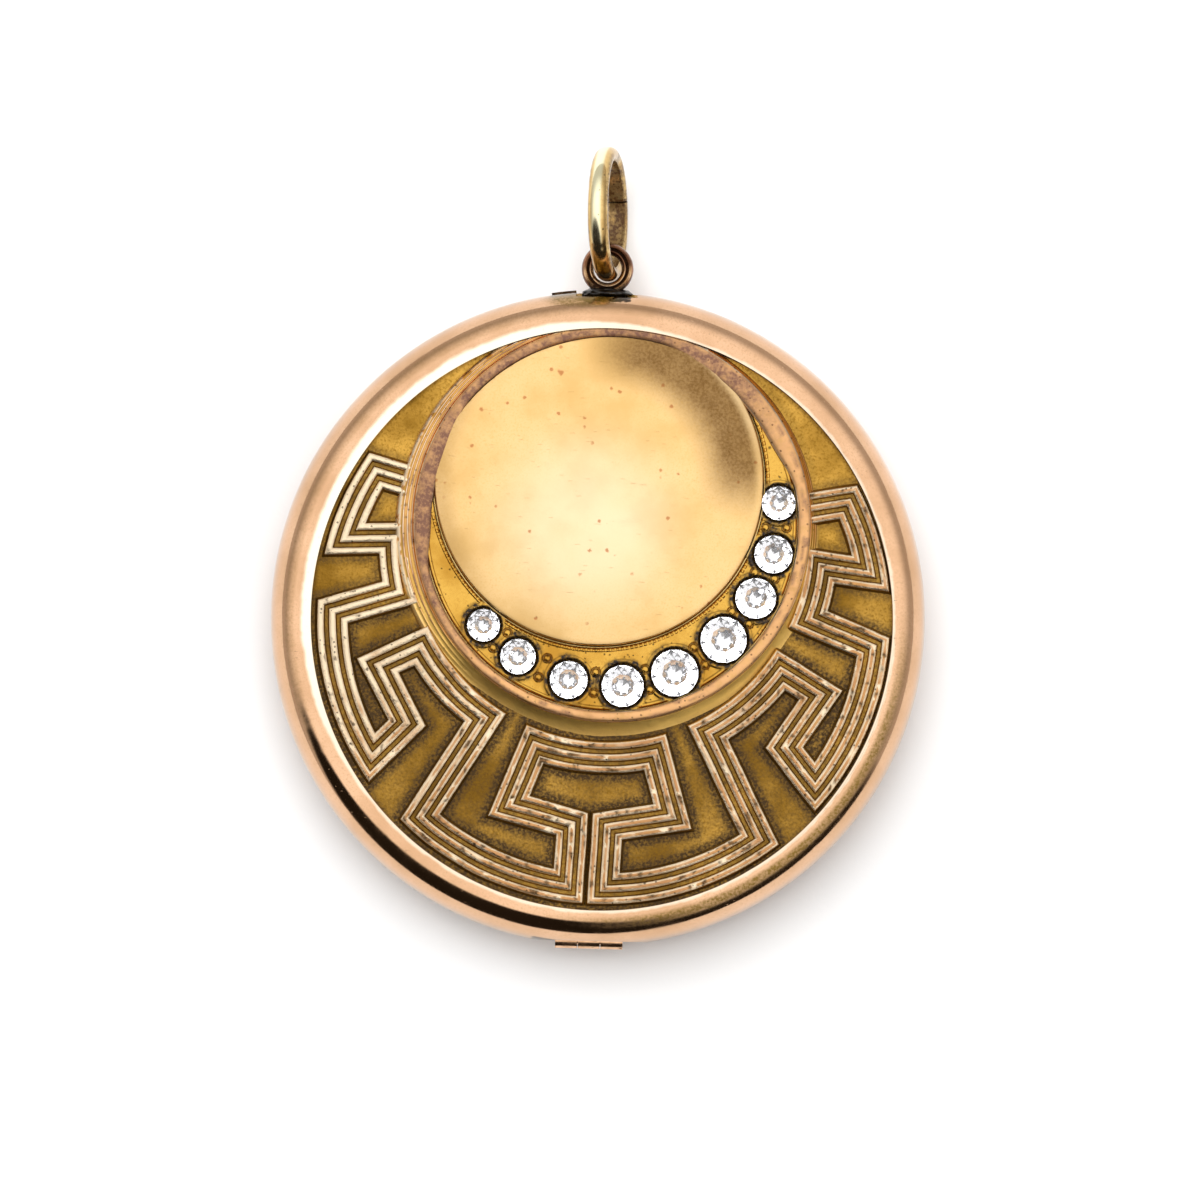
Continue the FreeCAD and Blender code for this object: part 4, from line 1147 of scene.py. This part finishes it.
def make_crescent():
    """Make the crescent plate with its milled edge lines, stone seats and grain beads."""
    stones = [stone_of(node) for node in STONE_NODES]
    beads = bead_places(stones)
    out_radius = MOULDING_INNER - 0.05
    moon_reach = MOON_RADIUS + 0.03
    angle = np.linspace(math.radians(-205), math.radians(60), 1400)
    way = around(angle)
    offset = MOON_CENTRE - MOULDING_CENTRE
    along = way @ offset
    in_radius = along + np.sqrt(moon_reach ** 2 - offset @ offset + along ** 2)
    wide = out_radius - in_radius > 0.06
    way, in_radius = way[wide], in_radius[wide]
    share = np.linspace(0, 1, 84)
    reach = in_radius[:, None] * (1 - share) + out_radius * share
    flat = MOULDING_CENTRE + way[:, None, :] * reach[..., None]
    top = np.concatenate([flat, np.full(flat.shape[:2] + (1,), CRESCENT_TOP - 0.1)], -1)
    width = (out_radius - in_radius)[:, None]
    from_moon = reach - in_radius[:, None]
    from_moulding = out_radius - reach
    milled = 0.7 + 0.3 * np.sign(np.sin(np.arange(len(way)) * 0.55))[:, None]
    line = step(np.abs(from_moon - 0.14), 0.09, 0.03) * milled
    line += step(np.abs(from_moulding - 0.12), 0.1, 0.03) * 0.8
    height = line * 0.07 * step(width, 0.3, 0.8)
    height -= step(from_moon, 0.05, 0) * 0.1 + step(from_moulding, 0.05, 0) * 0.06
    height += noise(top, 0.9, 51) * 0.006 + noise(top, 0.16, 52) * 0.004
    for centre, radius in stones:
        distance = reach_from(flat, centre)
        lip = step(np.abs(distance - radius - 0.2), 0.13, 0.03)
        height = np.where(distance < radius + 0.32, np.maximum(height, lip * 0.05), height)
        seat = -0.06 - np.maximum(radius + 0.1 - distance, 0) * 0.85
        height = np.where(distance < radius + 0.1, np.minimum(height, seat), height)
    for centre in beads:
        distance = reach_from(flat, centre)
        dome = 0.07 * np.sqrt(np.maximum(1 - (distance / 0.15) ** 2, 0)) + 0.01
        groove = step(np.abs(distance - 0.2), 0.06, 0.02) * 0.07
        height = np.where(distance < 0.15, np.maximum(height, dome), height - groove)
    top[..., 2] = np.clip(top[..., 2] + height, PANEL_LOW + 0.02, CRESCENT_TOP + 0.08)
    base = top[:, ::-1].copy()[:, [0, -1]]
    base[..., 2] = INSIDE_LOW
    grid = np.concatenate([top, base], 1)

    def grime(points):
        ragged = noise(points, 0.4, 53) * 0.5 + noise(points, 0.15, 54) * 0.4
        dirt_and_shade = np.zeros(len(points))
        for centre, radius in stones:
            distance = reach_from(points, centre) - radius
            dirt_and_shade = np.maximum(dirt_and_shade, step(distance, 0.5, 0.12) * (0.7 + 1.9 * ragged))
            dirt_and_shade = np.maximum(dirt_and_shade, step(distance + ragged * 0.08, 0.18, 0.1))
        for first, second in zip(stones, stones[1:]):
            distance = reach_from(points, (first[0] + second[0]) / 2)
            dirt_and_shade = np.maximum(dirt_and_shade, step(distance, 0.7, 0.3) * (0.45 + 1.9 * ragged))
        low_places = step(points[:, 2], CRESCENT_TOP - 0.12, CRESCENT_TOP - 0.2)
        dirt_and_shade = np.maximum(dirt_and_shade, low_places * 0.7)
        for centre in beads:
            distance = reach_from(points, centre)
            dirt_and_shade *= step(distance, 0.1, 0.17)
            dirt_and_shade = np.maximum(dirt_and_shade, step(np.abs(distance - 0.2), 0.05, 0.01) * 0.7)
        return dirt_and_shade

    make_piece(
        "crescent_relief", "cover", "bright_gold", BRIGHT, [sweep(grid)], ["crescent_plate"],
        grime=grime,
    )


# ---- the stones ---------------------------------------------------------------------------

# A stone's table, star facets and lower facets as shares of its radius, and its girdle.
TABLE_SHARE = 0.55
STAR_SHARE = 0.8
LOWER_SHARE = 0.32
GIRDLE_HEIGHT = 0.05


def brilliant(node, turn):
    """Return a brilliant's crown and pavilion as points and faces, turned about its axis."""
    low, high = span(node)
    centre, radius = stone_of(node)
    table_z, girdle_z, culet_z = high[2], CRESCENT_TOP + 0.01, low[2] + 0.02
    eighth = FULL_TURN / 8
    half = math.cos(eighth / 2)
    table, star, lower = TABLE_SHARE * radius, STAR_SHARE * radius, LOWER_SHARE * radius
    star_z = table_z - (star * half - table) / (radius - table) * (table_z - girdle_z)
    lower_z = culet_z + lower * half / radius * (girdle_z - culet_z)
    girdle_low = girdle_z - GIRDLE_HEIGHT
    rings = [
        (0, table, table_z), (0.5, star, star_z), (0, radius, girdle_z), (0.5, radius, girdle_z),
        (0, radius, girdle_low), (0.5, radius, girdle_low), (0.5, lower, lower_z),
    ]
    points = []
    for shift, reach, height in rings:
        flat = centre + around(turns(8) + shift * eighth + turn) * reach
        points += [(x, y, height) for x, y in flat]
    points.append((*centre, culet_z))
    table, star, tip, gap, tip_low, gap_low, lower, culet = (8 * index for index in range(8))
    crown = [[table + index for index in range(8)]]
    pavilion = []
    for index in range(8):
        after = (index + 1) % 8
        before = (index - 1) % 8
        crown += [
            [table + index, star + index, table + after],
            [table + index, star + before, tip + index, star + index],
            [star + index, tip + index, gap + index],
            [star + index, gap + index, tip + after],
            [tip + index, tip_low + index, gap_low + index, gap + index],
            [gap + index, gap_low + index, tip_low + after, tip + after],
        ]
        pavilion += [
            [lower + before, tip_low + index, lower + index, culet],
            [tip_low + index, gap_low + index, lower + index],
            [gap_low + index, tip_low + after, lower + index],
        ]
    return points, crown, pavilion


TURN_BETWEEN_STONES = 2.399


def make_stones():
    """Make the nine foiled paste stones, each turned its own way."""
    for number, node in enumerate(STONE_NODES, start=1):
        points, crown, pavilion = brilliant(node, number * TURN_BETWEEN_STONES)
        piece = make_piece(
            node.replace("paste_stone", "paste_brilliant"), "cover", "paste", PASTE,
            [(points, crown + pavilion)], [node], sharp=0,
        )
        piece.data.materials.append(FOIL)
        crown_low = (CRESCENT_TOP - 0.005) * MM
        for polygon in piece.data.polygons:
            polygon.material_index = int(polygon.center.z < crown_low)


# ---- the inside ---------------------------------------------------------------------------

def make_lathed(name, body, slot, material, profile, node, columns=360, reach=0.05, waves=0.006):
    """Make a turned piece with softened edges and slight waves in place of a CAD node."""
    outline = rounded(profile, reach, closed=profile[0][0] > 0)
    points, faces = lathe(outline, columns=columns)
    uneven = noise(points, 4.0, len(name))[..., None] * (0, 0, waves)
    low, high = span(node)
    points = np.clip(points + uneven, low, high)
    return make_piece(name, body, slot, material, [(points, faces)], [node])


def make_frame(node, body, flip):
    """Make one spring frame that holds a picture: a half-round band with two fine lines."""
    low, high = span(node)
    half = 0.65
    outer = high[0]
    inner = outer - 2 * half
    middle = outer - half
    back, front = (high[2], low[2]) if flip else (low[2], high[2])
    rise = front - back
    profile = [(inner, back), (outer, back), (outer, back + rise * 0.5)]
    for share in np.linspace(0.05, 0.95, 25):
        across = outer - 2 * half * share
        crown = math.sqrt(1 - ((across - middle) / half) ** 2)
        line = step(abs(abs(across - middle) - 0.36), 0.06, 0.02) * 0.1
        profile.append((across, back + rise * (0.5 + 0.5 * crown - line)))
    profile.append((inner, back + rise * 0.5))
    points, faces = lathe(profile)
    make_piece(node + "_band", body, "inner_gilt", GILT, [(points, faces)], [node])


# Each window and card is thinner than its CAD node by this on both faces, so that they never
# share a surface.
AIR_GAP = 0.015
DISCS = (("window", "clear_window", WINDOW), ("photo_card", "picture_card", CARD))


def make_inside():
    """Make the rings, frames, windows and blank cards that show when the locket is open."""
    low, high = span("snap_ring")
    wall, ledge_top = high[0] - 0.4, low[2] + 0.25
    profile = [
        (wall - 1, low[2]), (high[0], low[2]), (high[0], high[2]), (wall, high[2]),
        (wall, ledge_top), (wall - 1, ledge_top),
    ]
    points, faces = lathe(rounded(profile, 0.06))
    gap = tool_of((-1.81, -CASE_RADIUS, HINGE[2] - 1.07), (1.81, HINGE_FLAT + 1.2, RIM_TOP))
    make_piece(
        "snap_ring_turned", "case", "inner_gilt", GILT, [(points, faces)], ["snap_ring"],
        tools=[gap],
    )
    low, high = span("cover_bezel")
    profile = [
        (high[0] - 0.3, low[2]), (high[0], low[2]), (high[0], high[2]), (high[0] - 0.3, high[2])
    ]
    make_lathed("cover_bezel_turned", "cover", "inner_gilt", GILT, profile, "cover_bezel")
    make_frame("case_photo_frame", "case", False)
    make_frame("cover_photo_frame", "cover", True)
    for body in ("case", "cover"):
        for part, slot, material in DISCS:
            node = "%s_%s" % (body, part)
            low, high = span(node)
            radius = high[0]
            under, over = low[2] + AIR_GAP, high[2] - AIR_GAP
            shares = np.linspace(0, 1, 14)
            profile = [(share * radius, under) for share in shares]
            profile += [(share * radius, over) for share in shares[::-1]]
            piece = make_lathed(node + "_disc", body, slot, material, profile, node, 240, 0.03, 0.0)
            ragged = noise(places(piece), 1.5, 61) * 0.4
            browned = step(reach_from(places(piece)), radius - 1.9, radius)
            paint(piece, "grime", browned * (0.5 + ragged))


# ---- the eye, its solder and the jump ring ------------------------------------------------

EYE_HOLE = 0.68


def make_eye():
    """Make the eye: two grooved rings, one inside the other."""
    low, high = span("eye")
    inner, outer = EYE_HOLE, high[0]
    middle = (inner + outer) / 2 - 0.04
    profile = []
    for angle in turns(40):
        across = math.cos(angle)
        reach = (outer - inner) / 2
        bulge = math.sin(angle) * (high[2] - low[2]) / 2
        pinch = 1 - 0.62 * math.exp(-((across + 0.06) / 0.17) ** 2)
        profile.append((middle + 0.04 + reach * across, EYE_CENTRE[2] + bulge * pinch))
    points, faces = lathe(profile, EYE_CENTRE[:2], 160)
    points = points + noise(points, 0.5, 71)[..., None] * 0.008
    points = np.clip(points, (-outer, -99, low[2]), (outer, high[1], high[2]))

    def grime(points):
        reach = reach_from(points, EYE_CENTRE)
        ragged = noise(points, 0.3, 72) * 0.4
        groove = step(np.abs(reach - middle - 0.02), 0.1, 0.03)
        hole = step(reach, inner + 0.12, inner)
        foot = step(points[:, 1], EYE_CENTRE[1] - 0.3, EYE_CENTRE[1] - 1.0)
        return most(groove, hole, foot) * (0.8 + ragged)

    # Painted highlights on the crests of both rings, on their lower side.
    def worn(points):
        reach = reach_from(points, EYE_CENTRE)
        crests = [step(np.abs(reach - crest), 0.1, 0.03) for crest in (inner + 0.13, outer - 0.16)]
        low_side = step(points[:, 1] - EYE_CENTRE[1], 0.35, -0.35)
        low_side *= step(points[:, 2], EYE_CENTRE[2], EYE_CENTRE[2] + 0.2)
        return most(*crests) * low_side * (0.7 + noise(points, 0.4, 73) * 0.3)

    make_piece(
        "eye_rings", "case", "eye_gold", EYE_GOLD, [(points, faces)], ["eye"],
        grime=grime, worn=worn,
    )


def make_solder():
    """Make the lumpy solder that holds the eye, clear of the cover's notch."""
    low, high = span("eye_solder")
    half = np.array([high[0], 0.45, 1.0])
    centre = np.array([0, high[1] - half[1], SEAM])
    polar = np.linspace(0, math.pi, 41)[None, :]
    angle = turns(96)[:, None]
    flat = np.sin(polar)[..., None] * around(angle)
    ball = np.concatenate([flat, np.broadcast_to(np.cos(polar)[..., None], flat.shape[:2] + (1,))], -1)
    lumps = noise(ball, 0.55, 81) * 0.14 + noise(ball, 0.25, 82) * 0.07
    points = centre + ball * half * (0.86 + lumps)[..., None]
    points = np.clip(points, low, high)
    make_piece(
        "eye_solder_lump", "case", "old_solder", SOLDER,
        [(points, grid_faces(96, 41, round_columns=False))], ["eye_solder"], sharp=60,
    )


# The jump ring's half-round wire, and how far its cut is above its middle.
CUT_RISE = 0.87
WIRE_THICK = 0.42
WIRE_WIDE = 0.5


def make_jump_ring():
    """Make the open jump ring: half-round wire with its two cut ends almost touching."""
    centre = np.array(mounts["jump_ring_loop"]["pos_m"]) / MM
    normal = np.array(mounts["jump_ring_loop"]["axis"])
    normal /= np.linalg.norm(normal)
    forward = np.cross((0, 0, 1), normal)
    forward /= np.linalg.norm(forward)
    upward = np.cross(normal, forward)
    outer = (span("jump_ring")[1][1] - centre[1]) / math.hypot(upward[1], forward[1]) - 0.003
    radius = outer - WIRE_THICK
    cut = math.acos(CUT_RISE / radius)
    around_wire = turns(40)
    outward = np.maximum(np.cos(around_wire), -0.72)[None, :, None]
    half_gap = (0.005 + 0.045 * step(outward[..., 0], 0.9, -0.6)) / radius
    angle = -cut + half_gap + (FULL_TURN - 2 * half_gap) * np.linspace(0, 1, 260)[:, None]
    along = np.cos(angle)[..., None] * forward + np.sin(angle)[..., None] * upward
    section = outward * along * WIRE_THICK + np.sin(around_wire)[None, :, None] * normal * WIRE_WIDE
    points = centre + along * radius + section
    nicks = np.maximum(noise(points, 0.5, 91) - 0.5, 0) * 0.1 + (1 + noise(points, 1.5, 92)) * 0.012
    points -= section * nicks[..., None]

    def across_and_reach(points):
        """Return each point's distance along the ring's axis, and its distance from the axis."""
        away = points - centre
        across = away @ normal
        return across, np.linalg.norm(away - across[:, None] * normal, axis=1)

    # Darker on the wire's inner side as dirt and painted shade, and on its sides and at the cut as
    # painted shade.
    def grime(points):
        across, reach = across_and_reach(points)
        ragged = noise(points, 0.6, 93) * 0.3 + noise(points, 0.2, 94) * 0.2
        inside = step(reach, radius - 0.16, radius - 0.28)
        from_cut = points - (centre + (np.cos(cut) * forward - np.sin(cut) * upward) * radius)
        near_cut = step(np.linalg.norm(from_cut @ np.array([forward, upward]).T, axis=1), 0.6, 0.5)
        near_cut *= step(np.abs(points[:, 1] - centre[1] - CUT_RISE), 0.13, 0.07)
        side = step(np.abs(across), WIRE_WIDE * 0.62, WIRE_WIDE * 0.95) * (0.45 + ragged)
        return most(inside * (0.75 + ragged), side, near_cut)

    # Painted highlight: a bright streak down the outer face of the wire's lower part.
    def shine(points):
        across, reach = across_and_reach(points)
        streak = step(np.abs(across + 0.04), 0.3, 0.14) * step(reach, radius + 0.1, radius + 0.3)
        lower = step(points[:, 1] - centre[1], -2.6, -1.0)
        return streak * lower * (0.95 + noise(points, 0.7, 95) * 0.1)

    make_piece(
        "jump_ring_wire", "jump_ring", "ring_gold", RING_GOLD, [sweep(points)], ["jump_ring"],
        grime=grime, shine=shine,
    )


def dress(node, material):
    """Give a CAD node that stays a better material."""
    item = frame["nodes"][node]
    item.data.materials.clear()
    item.data.materials.append(material)


# ---- the studio ---------------------------------------------------------------------------

# Dark parts of the room that the polished rim mirrors: direction, the angles in degrees from it
# where the patch is full and where it ends, and its colour.
HORIZON = (0.6, 0.57, 0.54, 1)
CEILING = (1.38, 1.35, 1.31, 1)
ROOM_PATCHES = [
    ((-0.4, -0.75, 0.53), 33, 41, (0.02, 0.016, 0.012, 1)),
    ((0.25, -0.95, 0.17), 17, 24, (0.02, 0.016, 0.012, 1)),
    ((0.66, -0.73, 0.17), 17, 26, (0.03, 0.025, 0.018, 1)),
]


def make_world():
    """Light the scene from a bright ceiling over a grey-brown horizon, with the dark patches."""
    world = bpy.data.worlds.new("studio")
    bpy.context.scene.world = world
    world.use_nodes = True
    sky = Nodes(world.node_tree)
    direction = sky.node("ShaderNodeTexCoord").outputs["Generated"]
    height = sky.node("ShaderNodeSeparateXYZ", {0: direction}).outputs["Z"]
    colour = sky.mix(sky.band(height, 0.3, 0.95), HORIZON, CEILING)
    for towards, full, end, patch in ROOM_PATCHES:
        towards = Vector(towards).normalized()
        inputs = {0: direction, 1: towards}
        nearness = sky.node("ShaderNodeVectorMath", inputs, operation="DOT_PRODUCT").outputs[1]
        share = sky.band(nearness, math.cos(math.radians(end)), math.cos(math.radians(full)))
        colour = sky.mix(share, colour, patch)
    sky.feed(world.node_tree.nodes["Background"].inputs["Color"], colour)


def make_floor():
    """Lay a plain pale paper floor just under the back."""
    shader = Shader("pale_floor")
    tone = shader.band(shader.grain(40, 2), 0.3, 0.7)
    colour = shader.mix(tone, (0.92, 0.935, 0.955, 1), (0.89, 0.905, 0.925, 1))
    normal = shader.bump(shader.grain(0.4), 0.01)
    material = shader.finish(Base_Color=colour, Roughness=0.9, Normal=normal)
    half = 0.8
    mesh = bpy.data.meshes.new("floor")
    corners = [(-half, -half), (half, -half), (half, half), (-half, half)]
    mesh.from_pydata([(x, y, -0.01 * MM) for x, y in corners], [], [(0, 1, 2, 3)])
    mesh.materials.append(material)
    floor = bpy.data.objects.new("floor", mesh)
    bpy.context.scene.collection.objects.link(floor)


def make_lamp(name, place, size, power):
    """Hang a square soft lamp that points at the locket."""
    light = bpy.data.lights.new(name, "AREA")
    light.size = size
    light.energy = power
    lamp = bpy.data.objects.new(name, light)
    lamp.location = place
    lamp.rotation_euler = Vector(place).to_track_quat("Z", "Y").to_euler()
    lamp.visible_glossy = False
    bpy.context.scene.collection.objects.link(lamp)


def make_camera():
    """Look almost straight down on the front with a long lens."""
    camera = bpy.data.cameras.new("camera")
    camera.lens = 245
    camera.sensor_width = 36
    camera.clip_start = 0.01
    seen = bpy.data.objects.new("camera", camera)
    aim = Vector((0.08, 0.93, SEAM)) * MM
    tilt = Euler((math.radians(2), 0, math.radians(1.6)))
    distance = 0.4
    seen.rotation_euler = tilt
    seen.location = aim + tilt.to_matrix() @ Vector((0, 0, distance))
    bpy.context.scene.collection.objects.link(seen)
    bpy.context.scene.camera = seen


for make in (
    make_rim, make_back, make_border, make_moulding, make_moon, make_crescent, make_stones,
    make_inside, make_eye, make_solder, make_jump_ring,
):
    make()
dress("nail_lip", LIP_SHADE)
dress("cover_lining", GILT)
for node in ("case_knuckles", "cover_knuckle", "hinge_pin"):
    dress(node, HINGE_GOLD)

make_world()
make_floor()
make_lamp("key_lamp", (-0.06, 0.16, 0.58), 0.45, 2.3)
make_camera()
bpy.context.scene.view_settings.view_transform = "Standard"
